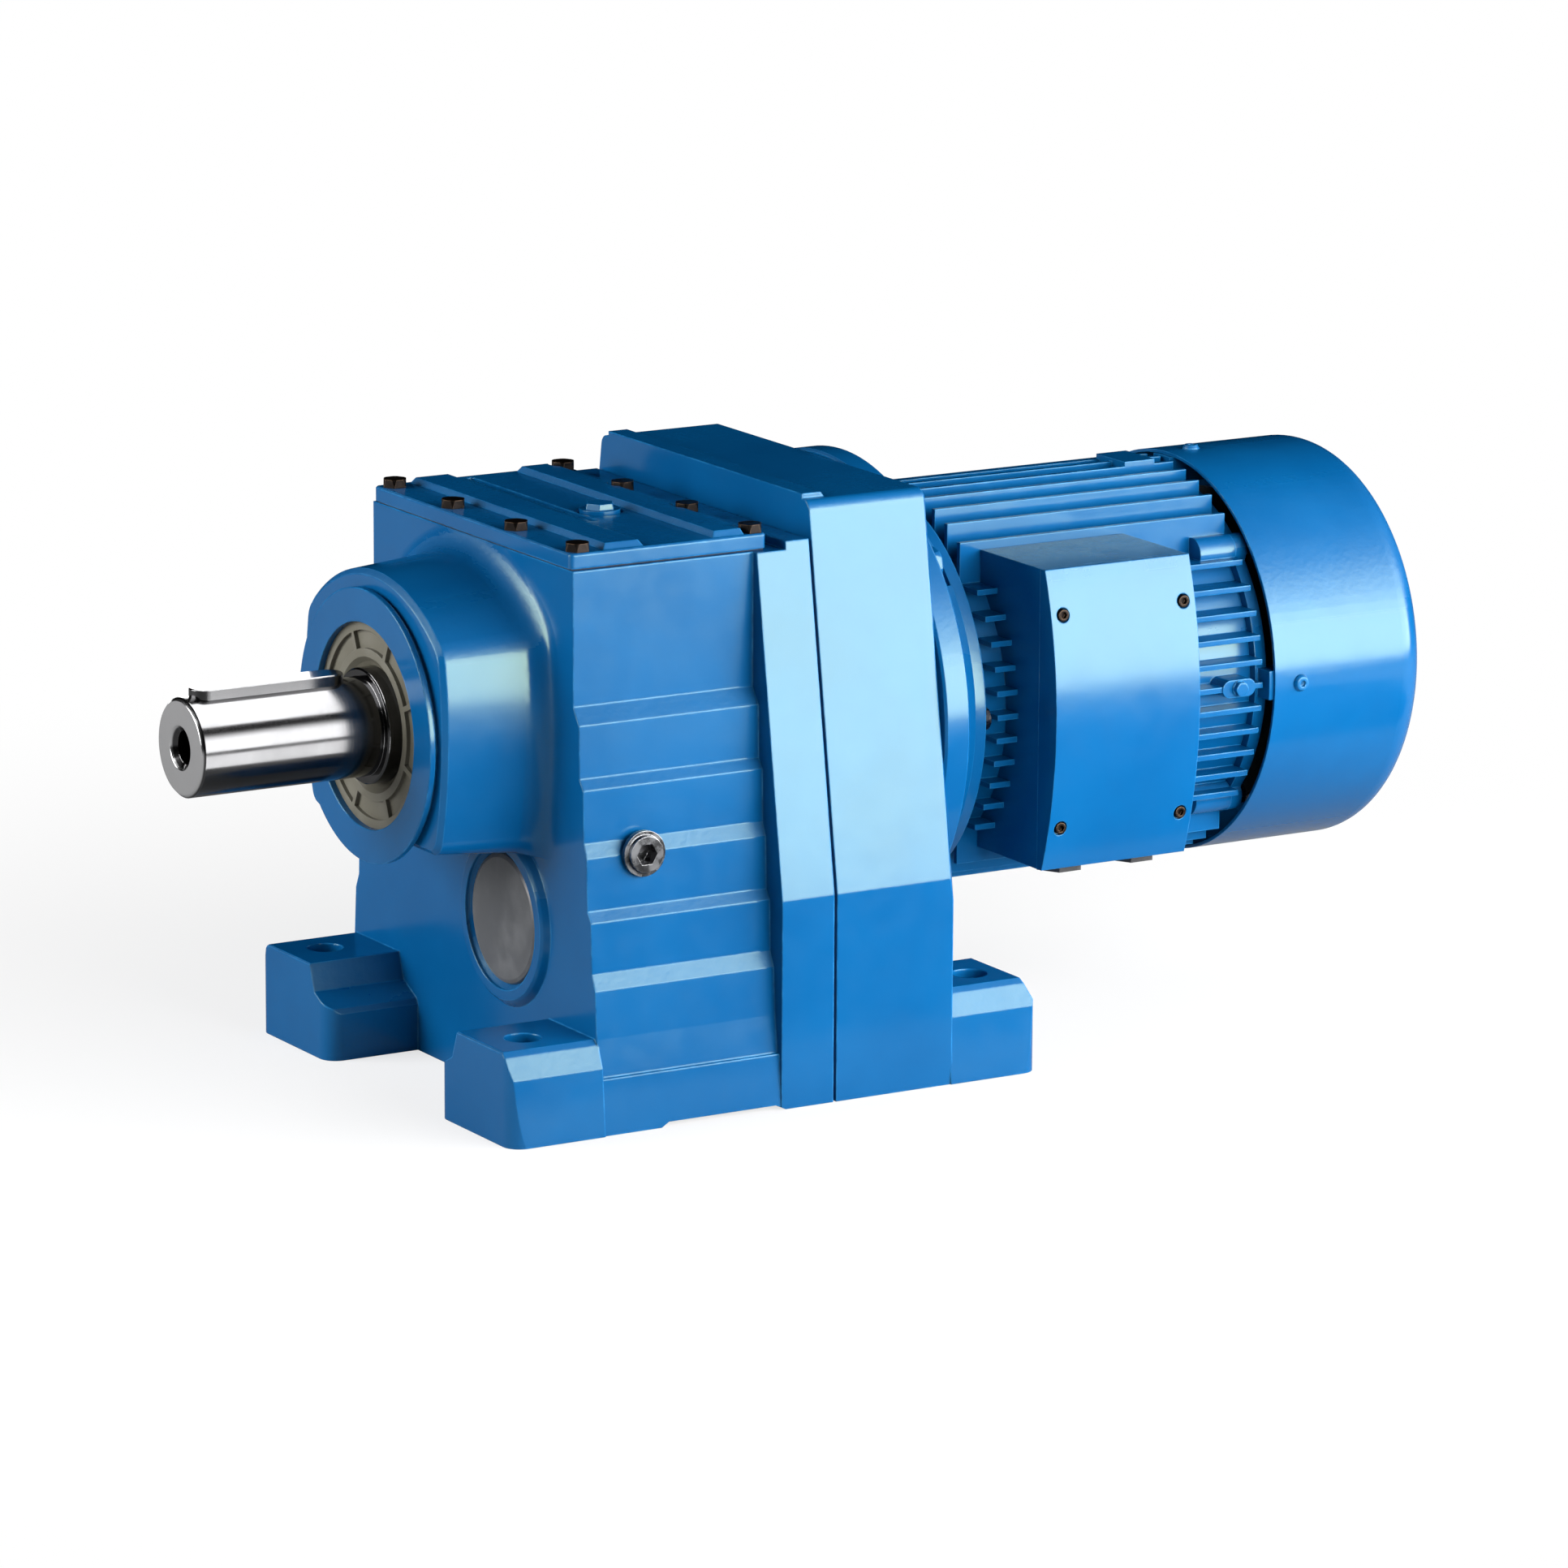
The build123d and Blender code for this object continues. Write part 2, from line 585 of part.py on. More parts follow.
with BuildPart() as inspection_cover:
    cover_middle = (COVER_X[0] + COVER_X[1]) / 2
    with BuildSketch(Plane.XY.offset(COVER_BASE)):
        with Locations((cover_middle, 0)):
            RectangleRounded(COVER_X[1] - COVER_X[0], 2 * COVER_HALF_Y, 3)
    extrude(amount=COVER_PLATE)
    chamfer(inspection_cover.faces().sort_by(Axis.Z)[-1].edges(), 1)
    # raised stiffening bands with sloping sides
    for band_start, band_end in COVER_BANDS:
        with BuildSketch(Plane.XY.offset(COVER_BASE + COVER_PLATE)):
            with Locations(((band_start + band_end) / 2, 0)):
                Rectangle(band_end - band_start, 2 * COVER_HALF_Y - 6)
        extrude(amount=3.5, taper=35)
    # spot faces under the screw heads
    with BuildSketch(Plane.XY.offset(COVER_BASE + COVER_PLATE)):
        with Locations(*COVER_SCREWS):
            Circle(COVER_SCREW_D + 1.5)
    extrude(amount=5, mode=Mode.SUBTRACT)
    # groove along the cover
    with BuildSketch(Plane.XY.offset(COVER_BASE + COVER_PLATE)):
        with Locations((-58, 38)):
            RectangleRounded(5, 156, 2)
    extrude(amount=-3.5, mode=Mode.SUBTRACT)
    # breather seat
    with BuildSketch(Plane.XY.offset(COVER_BASE + COVER_PLATE)):
        with Locations(BREATHER):
            Circle(14)
    extrude(amount=-1, mode=Mode.SUBTRACT)
    with Locations((BREATHER[0], BREATHER[1], COVER_BASE + COVER_PLATE)):
        Hole(8)
    with BuildSketch(Plane.XY.offset(COVER_BASE)):
        with Locations(*COVER_SCREWS):
            Circle(COVER_SCREW_D / 2 + 0.5)
    extrude(amount=20, mode=Mode.SUBTRACT)
inspection_cover.part.label = "inspection_cover"
export_step(inspection_cover.part, "parts/inspection_cover.step")

with BuildPart() as cover_gasket:
    with BuildSketch(Plane.XY.offset(CASE_TOP)):
        with Locations((-54, 0)):
            Rectangle(130, 240)
        with Locations((-50.5, 0)):
            RectangleRounded(101, 212, 14, mode=Mode.SUBTRACT)
        with Locations(*COVER_SCREWS):
            Circle(COVER_SCREW_D / 2 + 0.5, mode=Mode.SUBTRACT)
    extrude(amount=COVER_GASKET)
cover_gasket.part.label = "cover_gasket"
export_step(cover_gasket.part, "parts/cover_gasket.step")

with BuildPart(Plane.XY.offset(COVER_BASE + COVER_PLATE)) as cover_screws:
    with Locations(*COVER_SCREWS):
        add(hex_screw(COVER_SCREW_D, 26))
cover_screws.part.label = "cover_screws"
export_step(cover_screws.part, "parts/cover_screws.step")

with BuildPart() as breather_plug:
    breather_seat = COVER_BASE + COVER_PLATE - 1
    stem = 10
    for radius, start, height in ((12.5, 0, 3), (8, 0, -stem)):
        with BuildSketch(Plane.XY.offset(breather_seat + start)):
            with Locations(BREATHER):
                Circle(radius)
        extrude(amount=height)
    with BuildSketch(Plane.XY.offset(breather_seat + 3)):
        with Locations(BREATHER):
            RegularPolygon(9.5, 6)
    extrude(amount=3.5, taper=12)
    with BuildSketch(Plane.XY.offset(breather_seat - stem)):
        with Locations(BREATHER):
            Circle(2)
    extrude(amount=stem, mode=Mode.SUBTRACT)
breather_plug.part.label = "breather_plug"
export_step(breather_plug.part, "parts/breather_plug.step")


def oil_plug(face_plane):
    """Collared oil plug with a hexagon socket; its plane lies on the seat."""
    with BuildPart() as plug:
        with BuildSketch(face_plane):
            Circle(13.8)
        extrude(amount=3.2)
        with BuildSketch(face_plane.offset(3.2)):
            Circle(11.5)
        extrude(amount=2.8, taper=12)
        with BuildSketch(face_plane):
            Circle(9)
        extrude(amount=-15)
        with BuildSketch(face_plane.offset(6)):
            RegularPolygon(6.9, 6)
        extrude(amount=-10, mode=Mode.SUBTRACT)
    return plug.part


with BuildPart() as oil_level_plug:
    add(oil_plug(Plane(origin=LEVEL_PLUG, x_dir=(1, 0, 0), z_dir=(0, -1, 0))))
oil_level_plug.part.label = "oil_level_plug"
export_step(oil_level_plug.part, "parts/oil_level_plug.step")

with BuildPart() as oil_drain_plug:
    add(oil_plug(Plane(origin=DRAIN_PLUG, x_dir=(-1, 0, 0), z_dir=(0, 1, 0))))
oil_drain_plug.part.label = "oil_drain_plug"
export_step(oil_drain_plug.part, "parts/oil_drain_plug.step")

SEAL_X = (-189.0, -178.0)
SEAL_RIBS = 8

with BuildPart() as output_oil_seal:
    journal = FRONT_BEARING[0] + RUNNING_GAP
    add(turned([(SEAL_X[0], journal + 6), (SEAL_X[0], 62.5), (SEAL_X[1], 62.5), (SEAL_X[1], journal + 9),
                (SEAL_X[1] - 3, journal), (SEAL_X[0] + 5, journal), (SEAL_X[0] + 3, journal + 3)],
               OUTPUT_AXIS))
    # dished face with radial ribs
    add(ring(SEAL_X[0] - 1, SEAL_X[0] + 2.5, journal + 11, 57, OUTPUT_AXIS), mode=Mode.SUBTRACT)
    with BuildSketch(cross_plane(SEAL_X[0], OUTPUT_AXIS)):
        with PolarLocations((journal + 11 + 57) / 2, SEAL_RIBS, start_angle=22.5):
            Rectangle(57 - journal - 10, 3.2)
    extrude(amount=3)
output_oil_seal.part.label = "output_oil_seal"
export_step(output_oil_seal.part, "parts/output_oil_seal.step")

with BuildPart() as output_bearing_circlip:
    add(circlip(-177, 4, 57.5, 65, 16, OUTPUT_AXIS))
output_bearing_circlip.part.label = "output_bearing_circlip"
export_step(output_bearing_circlip.part, "parts/output_bearing_circlip.step")

with BuildPart() as closing_cap:
    # pressed cup: flat face, rounded rim, open towards the bearing
    add(turned([(CASE_X - 3, 0), (CASE_X - 3, CAP_R - 3), (CASE_X - 2, CAP_R - 0.8), (CASE_X - 0.5, CAP_R),
                (MID_BEARINGS_X[0] - 0.2, CAP_R), (MID_BEARINGS_X[0] - 0.2, CAP_R - 3),
                (CASE_X - 0.5, CAP_R - 4), (CASE_X - 0.5, 0)], MID_AXIS))
closing_cap.part.label = "closing_cap"
export_step(closing_cap.part, "parts/closing_cap.step")

# ================================================================ output shaft group
GEAR_SEAT_R = 34.0
OUTPUT_KEY = (SHAFT_END_X + 7, SHAFT_END_X + 107, 18.0, SHAFT_HEIGHT + OUTPUT_D / 2 - 7,
              SHAFT_HEIGHT + OUTPUT_D / 2 + 5)
GEAR_2_KEY = (GEAR_2_X + 5, GEAR_2_X + 45, 20.0, SHAFT_HEIGHT + GEAR_SEAT_R - 7.5,
              SHAFT_HEIGHT + GEAR_SEAT_R + 4.5)

with BuildPart() as output_shaft:
    shaft_r = OUTPUT_D / 2
    bearing_r = FRONT_BEARING[0]
    rear_r = REAR_BEARING[0]
    add(turned([(SHAFT_END_X, 0), (SHAFT_END_X, shaft_r - 2), (SHAFT_END_X + 2, shaft_r),
                (SHOULDER_X, shaft_r), (SHOULDER_X, bearing_r - 1), (SHOULDER_X + 1, bearing_r),
                (FRONT_BEARING_X + 24, bearing_r), (FRONT_BEARING_X + 24, 41), (GEAR_2_X, 41),
                (GEAR_2_X, GEAR_SEAT_R), (-42, GEAR_SEAT_R), (-42, rear_r), (34, rear_r), (34, 0)],
               OUTPUT_AXIS))
    # tapped centre hole in the output end
    add(turned([(SHAFT_END_X, 0), (SHAFT_END_X, 13.5), (SHAFT_END_X + 3.5, 10), (SHAFT_END_X + 48, 10),
                (SHAFT_END_X + 54, 0)], OUTPUT_AXIS), mode=Mode.SUBTRACT)
    add(parallel_key(*OUTPUT_KEY), mode=Mode.SUBTRACT)
    add(parallel_key(*GEAR_2_KEY), mode=Mode.SUBTRACT)
output_shaft.part.label = "output_shaft"
export_step(output_shaft.part, "parts/output_shaft.step")

with BuildPart() as output_shaft_key:
    add(parallel_key(*OUTPUT_KEY))
    chamfer(output_shaft_key.faces().sort_by(Axis.Z)[-1].edges(), 0.6)
output_shaft_key.part.label = "output_shaft_key"
export_step(output_shaft_key.part, "parts/output_shaft_key.step")

with BuildPart() as output_gear_key:
    add(parallel_key(*GEAR_2_KEY))
output_gear_key.part.label = "output_gear_key"
export_step(output_gear_key.part, "parts/output_gear_key.step")

MESH_2_X = GEAR_2_X + GEAR_2_WIDTH / 2
MESH_2_ANGLE = direction(OUTPUT_AXIS, MID_AXIS)
MESH_1_X = GEAR_1_X + GEAR_1_WIDTH / 2
MESH_1_ANGLE = direction(MID_AXIS, MOTOR_AXIS)

with BuildPart() as output_gear:
    add(helical_gear(GEAR_2_TEETH, MODULE_2, HELIX_2, 1, GEAR_2_X, GEAR_2_WIDTH, MESH_2_X,
                     OUTPUT_AXIS, MESH_2_ANGLE, 4))
    add(ring(GEAR_2_X, GEAR_2_X + GEAR_2_WIDTH, 0, GEAR_SEAT_R, OUTPUT_AXIS), mode=Mode.SUBTRACT)
    # recessed web on both sides
    add(ring(GEAR_2_X - 1, GEAR_2_X + 15, 52, 86, OUTPUT_AXIS), mode=Mode.SUBTRACT)
    add(ring(GEAR_2_X + GEAR_2_WIDTH - 15, GEAR_2_X + GEAR_2_WIDTH + 1, 52, 86, OUTPUT_AXIS),
        mode=Mode.SUBTRACT)
    # keyway
    with BuildSketch(cross_plane(GEAR_2_X)):
        with Locations((0, SHAFT_HEIGHT + GEAR_SEAT_R)):
            Rectangle(20, 10)
    extrude(amount=GEAR_2_WIDTH, mode=Mode.SUBTRACT)
output_gear.part.label = "output_gear"
export_step(output_gear.part, "parts/output_gear.step")

with BuildPart() as output_spacer:
    add(ring(GEAR_2_X + GEAR_2_WIDTH, REAR_BEARING_X, REAR_BEARING[0], 37, OUTPUT_AXIS))
output_spacer.part.label = "output_spacer"
export_step(output_spacer.part, "parts/output_spacer.step")

with BuildPart() as output_front_outer_ring:
    add(outer_race(FRONT_BEARING, FRONT_BEARING_X, OUTPUT_AXIS))
output_front_outer_ring.part.label = "output_front_outer_ring"
export_step(output_front_outer_ring.part, "parts/output_front_outer_ring.step")

with BuildPart() as output_front_inner_ring:
    add(inner_race(FRONT_BEARING, FRONT_BEARING_X, OUTPUT_AXIS))
output_front_inner_ring.part.label = "output_front_inner_ring"
export_step(output_front_inner_ring.part, "parts/output_front_inner_ring.step")

with BuildPart() as output_front_balls:
    add(ball_row(FRONT_BEARING, FRONT_BEARING_X, OUTPUT_AXIS))
output_front_balls.part.label = "output_front_balls"
export_step(output_front_balls.part, "parts/output_front_balls.step")

with BuildPart() as output_front_cage:
    add(ball_cage(FRONT_BEARING, FRONT_BEARING_X, OUTPUT_AXIS))
output_front_cage.part.label = "output_front_cage"
export_step(output_front_cage.part, "parts/output_front_cage.step")

with BuildPart() as output_rear_outer_ring:
    add(outer_race(REAR_BEARING, REAR_BEARING_X, OUTPUT_AXIS))
output_rear_outer_ring.part.label = "output_rear_outer_ring"
export_step(output_rear_outer_ring.part, "parts/output_rear_outer_ring.step")

with BuildPart() as output_rear_inner_ring:
    add(inner_race(REAR_BEARING, REAR_BEARING_X, OUTPUT_AXIS))
output_rear_inner_ring.part.label = "output_rear_inner_ring"
export_step(output_rear_inner_ring.part, "parts/output_rear_inner_ring.step")

with BuildPart() as output_rear_balls:
    add(ball_row(REAR_BEARING, REAR_BEARING_X, OUTPUT_AXIS))
output_rear_balls.part.label = "output_rear_balls"
export_step(output_rear_balls.part, "parts/output_rear_balls.step")

with BuildPart() as output_rear_cage:
    add(ball_cage(REAR_BEARING, REAR_BEARING_X, OUTPUT_AXIS))
output_rear_cage.part.label = "output_rear_cage"
export_step(output_rear_cage.part, "parts/output_rear_cage.step")

# ================================================================ intermediate shaft group
GEAR_1_SEAT_R = 19.0
MID_SHAFT_END = 84.0
GEAR_1_KEY = (46.0, 76.0, 10.0, MID_AXIS[1] + GEAR_1_SEAT_R - 5, MID_AXIS[1] + GEAR_1_SEAT_R + 3)

with BuildPart() as intermediate_shaft:
    # journals and shoulders
    seat_r = SMALL_BEARING[0]
    front_seat_end = MID_BEARINGS_X[0] + SMALL_BEARING[2]
    rear_seat_end = MID_BEARINGS_X[1] + SMALL_BEARING[2]
    add(turned([(MID_BEARINGS_X[0], 0), (MID_BEARINGS_X[0], seat_r - 1), (MID_BEARINGS_X[0] + 1, seat_r),
                (front_seat_end, seat_r), (front_seat_end, 23), (PINION_2_X, 23), (PINION_2_X, 19),
                (PINION_2_X + PINION_2_WIDTH, 19), (PINION_2_X + PINION_2_WIDTH, 23),
                (MID_BEARINGS_X[1], 23), (MID_BEARINGS_X[1], seat_r), (rear_seat_end, seat_r),
                (rear_seat_end, GEAR_1_SEAT_R), (80, GEAR_1_SEAT_R), (80, 17.5), (82, 17.5),
                (82, GEAR_1_SEAT_R), (MID_SHAFT_END, GEAR_1_SEAT_R - 1), (MID_SHAFT_END, 0)], MID_AXIS))
    # pinion cut on the shaft, its tooth space facing the output gear
    add(helical_gear(PINION_2_TEETH, MODULE_2, HELIX_2, -1, PINION_2_X, PINION_2_WIDTH, MESH_2_X,
                     MID_AXIS, MESH_2_ANGLE + pi + pi / PINION_2_TEETH, 4))
    with Locations((0, MID_AXIS[0], 0)):
        add(parallel_key(*GEAR_1_KEY), mode=Mode.SUBTRACT)
intermediate_shaft.part.label = "intermediate_shaft"
export_step(intermediate_shaft.part, "parts/intermediate_shaft.step")

with BuildPart() as intermediate_gear_key:
    with Locations((0, MID_AXIS[0], 0)):
        add(parallel_key(*GEAR_1_KEY))
intermediate_gear_key.part.label = "intermediate_gear_key"
export_step(intermediate_gear_key.part, "parts/intermediate_gear_key.step")

with BuildPart() as intermediate_gear:
    add(helical_gear(GEAR_1_TEETH, MODULE_1, HELIX_1, 1, GEAR_1_X, GEAR_1_WIDTH, MESH_1_X,
                     MID_AXIS, MESH_1_ANGLE, 3))
    # recessed web and long hub
    add(ring(GEAR_1_X - 1, GEAR_1_X + 10, 32, 76, MID_AXIS), mode=Mode.SUBTRACT)
    add(ring(GEAR_1_X + GEAR_1_WIDTH - 10, GEAR_1_X + GEAR_1_WIDTH + 1, 32, 76, MID_AXIS),
        mode=Mode.SUBTRACT)
    add(turned([(rear_seat_end, 0), (rear_seat_end, 25), (36, 30), (80, 30), (80, 0)], MID_AXIS))
    add(ring(rear_seat_end, 80, 0, GEAR_1_SEAT_R, MID_AXIS), mode=Mode.SUBTRACT)
    with BuildSketch(cross_plane(rear_seat_end)):
        with Locations((MID_AXIS[0], MID_AXIS[1] + GEAR_1_SEAT_R)):
            Rectangle(10, 6.6)
    extrude(amount=52, mode=Mode.SUBTRACT)
intermediate_gear.part.label = "intermediate_gear"
export_step(intermediate_gear.part, "parts/intermediate_gear.step")

with BuildPart() as intermediate_circlip:
    add(circlip(80, 2, 17.5, 23, 20, MID_AXIS))
intermediate_circlip.part.label = "intermediate_circlip"
export_step(intermediate_circlip.part, "parts/intermediate_circlip.step")

with BuildPart() as intermediate_outer_rings:
    for bearing_x in MID_BEARINGS_X:
        add(outer_race(SMALL_BEARING, bearing_x, MID_AXIS))
intermediate_outer_rings.part.label = "intermediate_outer_rings"
export_step(intermediate_outer_rings.part, "parts/intermediate_outer_rings.step")

with BuildPart() as intermediate_inner_rings:
    for bearing_x in MID_BEARINGS_X:
        add(inner_race(SMALL_BEARING, bearing_x, MID_AXIS))
intermediate_inner_rings.part.label = "intermediate_inner_rings"
export_step(intermediate_inner_rings.part, "parts/intermediate_inner_rings.step")

with BuildPart() as intermediate_balls:
    for bearing_x in MID_BEARINGS_X:
        add(ball_row(SMALL_BEARING, bearing_x, MID_AXIS))
intermediate_balls.part.label = "intermediate_balls"
export_step(intermediate_balls.part, "parts/intermediate_balls.step")

with BuildPart() as intermediate_cages:
    for bearing_x in MID_BEARINGS_X:
        add(ball_cage(SMALL_BEARING, bearing_x, MID_AXIS))
intermediate_cages.part.label = "intermediate_cages"
export_step(intermediate_cages.part, "parts/intermediate_cages.step")

# ================================================================ motor casing
FLANGE_SCREW_ANGLE = 45
SHIELD_R = 125.0
SHIELD_SCREW_R = 115.0
REAR_LUG_R = 110.0
COVER_SCREW_X_POS = 394.0
MOTOR_SEAL_X = (118.0, 126.0)

with BuildPart() as motor_flange:
    # mounting disc, seal bore, bearing hub, bell and spigot turned in one piece
    bearing_x = MOTOR_BEARINGS_X[0]
    add(turned([(REAR_X - 4.5, 31), (MOTOR_SEAL_X[1], 31), (MOTOR_SEAL_X[1], 24), (bearing_x, 24),
                (bearing_x, 40), (150, 40), (150, 52), (137, 57), (137, 90), (149, 94), (163, 94),
                (163, FRAME_BORE_R), (FRAME_X, FRAME_BORE_R), (FRAME_X, SHIELD_R),
                (MOTOR_DISC_X, SHIELD_R + 6), (MOTOR_DISC_X, FLANGE_R), (REAR_X, FLANGE_R),
                (REAR_X, SPIGOT_R), (REAR_X - 4.5, SPIGOT_R)], MOTOR_AXIS))
    chamfer(motor_flange.edges().filter_by(GeomType.CIRCLE).group_by(SortBy.RADIUS)[-1], 1.5)
    # scallops that give room for the flange screw heads
    with BuildSketch(cross_plane(MOTOR_DISC_X, MOTOR_AXIS)):
        with PolarLocations(FLANGE_BOLT_R, 4, start_angle=FLANGE_SCREW_ANGLE):
            Circle(14)
    extrude(amount=FRAME_X - MOTOR_DISC_X, mode=Mode.SUBTRACT)
    with BuildSketch(cross_plane(REAR_X, MOTOR_AXIS)):
        with PolarLocations(FLANGE_BOLT_R, 4, start_angle=FLANGE_SCREW_ANGLE):
            Circle(6.5)
    extrude(amount=MOTOR_DISC_X - REAR_X, mode=Mode.SUBTRACT)
    # tapped holes for the screws that hold the frame
    with BuildSketch(cross_plane(FRAME_X, MOTOR_AXIS)):
        with PolarLocations(SHIELD_SCREW_R, 4):
            Circle(4)
    extrude(amount=-16, mode=Mode.SUBTRACT)
motor_flange.part.label = "motor_flange"
export_step(motor_flange.part, "parts/motor_flange.step")

with BuildPart(cross_plane(MOTOR_DISC_X, MOTOR_AXIS)) as motor_flange_screws:
    with PolarLocations(FLANGE_BOLT_R, 4, start_angle=FLANGE_SCREW_ANGLE):
        add(hex_screw(12, 28))
motor_flange_screws.part.label = "motor_flange_screws"
export_step(motor_flange_screws.part, "parts/motor_flange_screws.step")

with BuildPart() as motor_oil_seal:
    lip_r = SMALL_BEARING[0] + RUNNING_GAP
    add(turned([(MOTOR_SEAL_X[0], 31), (MOTOR_SEAL_X[1], 31), (MOTOR_SEAL_X[1], 24),
                (MOTOR_SEAL_X[0] + 5, lip_r), (MOTOR_SEAL_X[0] + 3, lip_r), (MOTOR_SEAL_X[0] + 1.5, 27),
                (MOTOR_SEAL_X[0], 27)], MOTOR_AXIS))
motor_oil_seal.part.label = "motor_oil_seal"
export_step(motor_oil_seal.part, "parts/motor_oil_seal.step")

FIN_PLACES = [FIN_PITCH * n for n in range(-5, 6)]
EARTH_TAB = (340.0, 364.0)
EARTH_X = (EARTH_TAB[0] + EARTH_TAB[1]) / 2


def fin_rows(limit_r, upright):
    """Row of parallel cooling fins whose tips lie on a circle round the motor axis."""
    with BuildPart() as fins:
        with BuildSketch(cross_plane(FIN_X, MOTOR_AXIS)):
            for place in FIN_PLACES:
                reach = sqrt(limit_r**2 - place**2)
                if upright:
                    with Locations((place, 0)):
                        Rectangle(FIN_THICK, 2 * reach)
                else:
                    with Locations((0, place)):
                        Rectangle(2 * reach, FIN_THICK)
        extrude(amount=FRAME_END_X - FIN_X)
    return fins.part


with BuildPart() as motor_frame:
    add(ring(FRAME_X, FRAME_X + 8, 0.01, SHIELD_R - 1, MOTOR_AXIS))
    add(ring(FRAME_X, FRAME_END_X, 0.01, FRAME_R, MOTOR_AXIS))
    add(fin_rows(TOP_FIN_R, True))
    add(fin_rows(SIDE_FIN_R, False))
    # pad on the top of the fins and earth tab on the side
    with BuildSketch(Plane.XY.offset(MOTOR_AXIS[1] + FRAME_R - 2)):
        with Locations((345, 0)):
            Rectangle(22, 2 * FIN_PITCH + FIN_THICK)
    extrude(amount=TOP_FIN_R + 4 - FRAME_R)
    with BuildSketch(Plane.XZ.offset(FRAME_R - 4)):
        with Locations((EARTH_X, MOTOR_AXIS[1])):
            SlotOverall(EARTH_TAB[1] - EARTH_TAB[0], 11)
    extrude(amount=SIDE_FIN_R + 5 - FRAME_R)
    # lugs for the rear shield screws
    with BuildSketch(cross_plane(FRAME_END_X, MOTOR_AXIS)):
        with PolarLocations(REAR_LUG_R, 4, start_angle=45):
            Circle(10)
    extrude(amount=-26)
    # seat of the terminal box, cut through the side fins
    with BuildPart(mode=Mode.PRIVATE) as box_room:
        with BuildSketch(Plane.XZ.offset(-BOX_BACK_Y)):
            with Locations(((BOX_X[0] + BOX_X[1]) / 2, (BOX_Z[0] + BOX_Z[1]) / 2)):
                Rectangle(BOX_X[1] - BOX_X[0], BOX_Z[1] - BOX_Z[0])
        extrude(amount=60)
        add(ring(FRAME_X, FRAME_END_X, 0, FRAME_R, MOTOR_AXIS), mode=Mode.SUBTRACT)
    add(box_room.part, mode=Mode.SUBTRACT)
    # bore for the stator and cable passage to the terminal box
    add(ring(FRAME_X - 1, FRAME_END_X + 1, 0, FRAME_BORE_R, MOTOR_AXIS), mode=Mode.SUBTRACT)
    with BuildSketch(Plane.XZ.offset(FRAME_BORE_R - 15)):
        with Locations(((BOX_X[0] + BOX_X[1]) / 2 - 35, MOTOR_AXIS[1])):
            Circle(9)
    extrude(amount=30, mode=Mode.SUBTRACT)
    with BuildSketch(cross_plane(FRAME_X, MOTOR_AXIS)):
        with PolarLocations(SHIELD_SCREW_R, 4):
            Circle(4.5)
    extrude(amount=8, mode=Mode.SUBTRACT)
    with BuildSketch(cross_plane(FRAME_END_X, MOTOR_AXIS)):
        with PolarLocations(REAR_LUG_R, 4, start_angle=45):
            Circle(4)
    extrude(amount=-18, mode=Mode.SUBTRACT)
    with BuildSketch(Plane.XZ.offset(SIDE_FIN_R + 1)):
        with Locations((EARTH_X, MOTOR_AXIS[1])):
            Circle(2.5)
    extrude(amount=-12, mode=Mode.SUBTRACT)
motor_frame.part.label = "motor_frame"
export_step(motor_frame.part, "parts/motor_frame.step")

earth_seat = Plane(origin=(EARTH_X, -SIDE_FIN_R - 1, MOTOR_AXIS[1]), x_dir=(1, 0, 0), z_dir=(0, -1, 0))

with BuildPart(earth_seat) as earth_screw:
    add(hex_screw(5, 10, washer_r=5.2))
earth_screw.part.label = "earth_screw"
export_step(earth_screw.part, "parts/earth_screw.step")

with BuildPart() as rear_end_shield:
    shield_x = FRAME_END_X
    add(turned([(shield_x - 6, 94), (shield_x - 6, FRAME_BORE_R), (shield_x, FRAME_BORE_R), (shield_x, 112),
                (shield_x + 8, 112), (shield_x + 8, 100), (shield_x + 12, 97), (shield_x + 12, 58),
                (shield_x + 24, 52),
                (shield_x + 24, 26), (shield_x + 21, 26), (shield_x + 21, 40), (shield_x - 1, 40),
                (shield_x - 1, 52), (shield_x + 3, 60), (shield_x + 3, 94)], MOTOR_AXIS))
    # lugs over the frame lugs
    with BuildSketch(cross_plane(shield_x, MOTOR_AXIS)):
        with PolarLocations(REAR_LUG_R, 4, start_angle=45):
            Circle(10)
    extrude(amount=8)
    with BuildSketch(cross_plane(shield_x, MOTOR_AXIS)):
        with PolarLocations(REAR_LUG_R, 4, start_angle=45):
            Circle(4.5)
    extrude(amount=8, mode=Mode.SUBTRACT)
    # four arms that carry the fan cover
    with BuildSketch(cross_plane(shield_x + 2, MOTOR_AXIS)):
        with PolarLocations(116, 4):
            Rectangle(2 * (COVER_R - COVER_WALL - 116), 18)
    extrude(amount=COVER_SCREW_X_POS + 8 - shield_x - 2)
    with BuildPart(mode=Mode.PRIVATE) as cover_room:
        add(ring(shield_x - 10, COVER_END_X, COVER_R - COVER_WALL, COVER_R + 20, MOTOR_AXIS))
    add(cover_room.part, mode=Mode.SUBTRACT)
    for turn_angle in (0, 90, 180, 270):
        with Locations(Location((COVER_SCREW_X_POS, MOTOR_AXIS[0], MOTOR_AXIS[1]), (turn_angle, 0, 0))):
            with Locations((0, 0, 116)):
                Cylinder(3, 24, mode=Mode.SUBTRACT)
rear_end_shield.part.label = "rear_end_shield"
export_step(rear_end_shield.part, "parts/rear_end_shield.step")

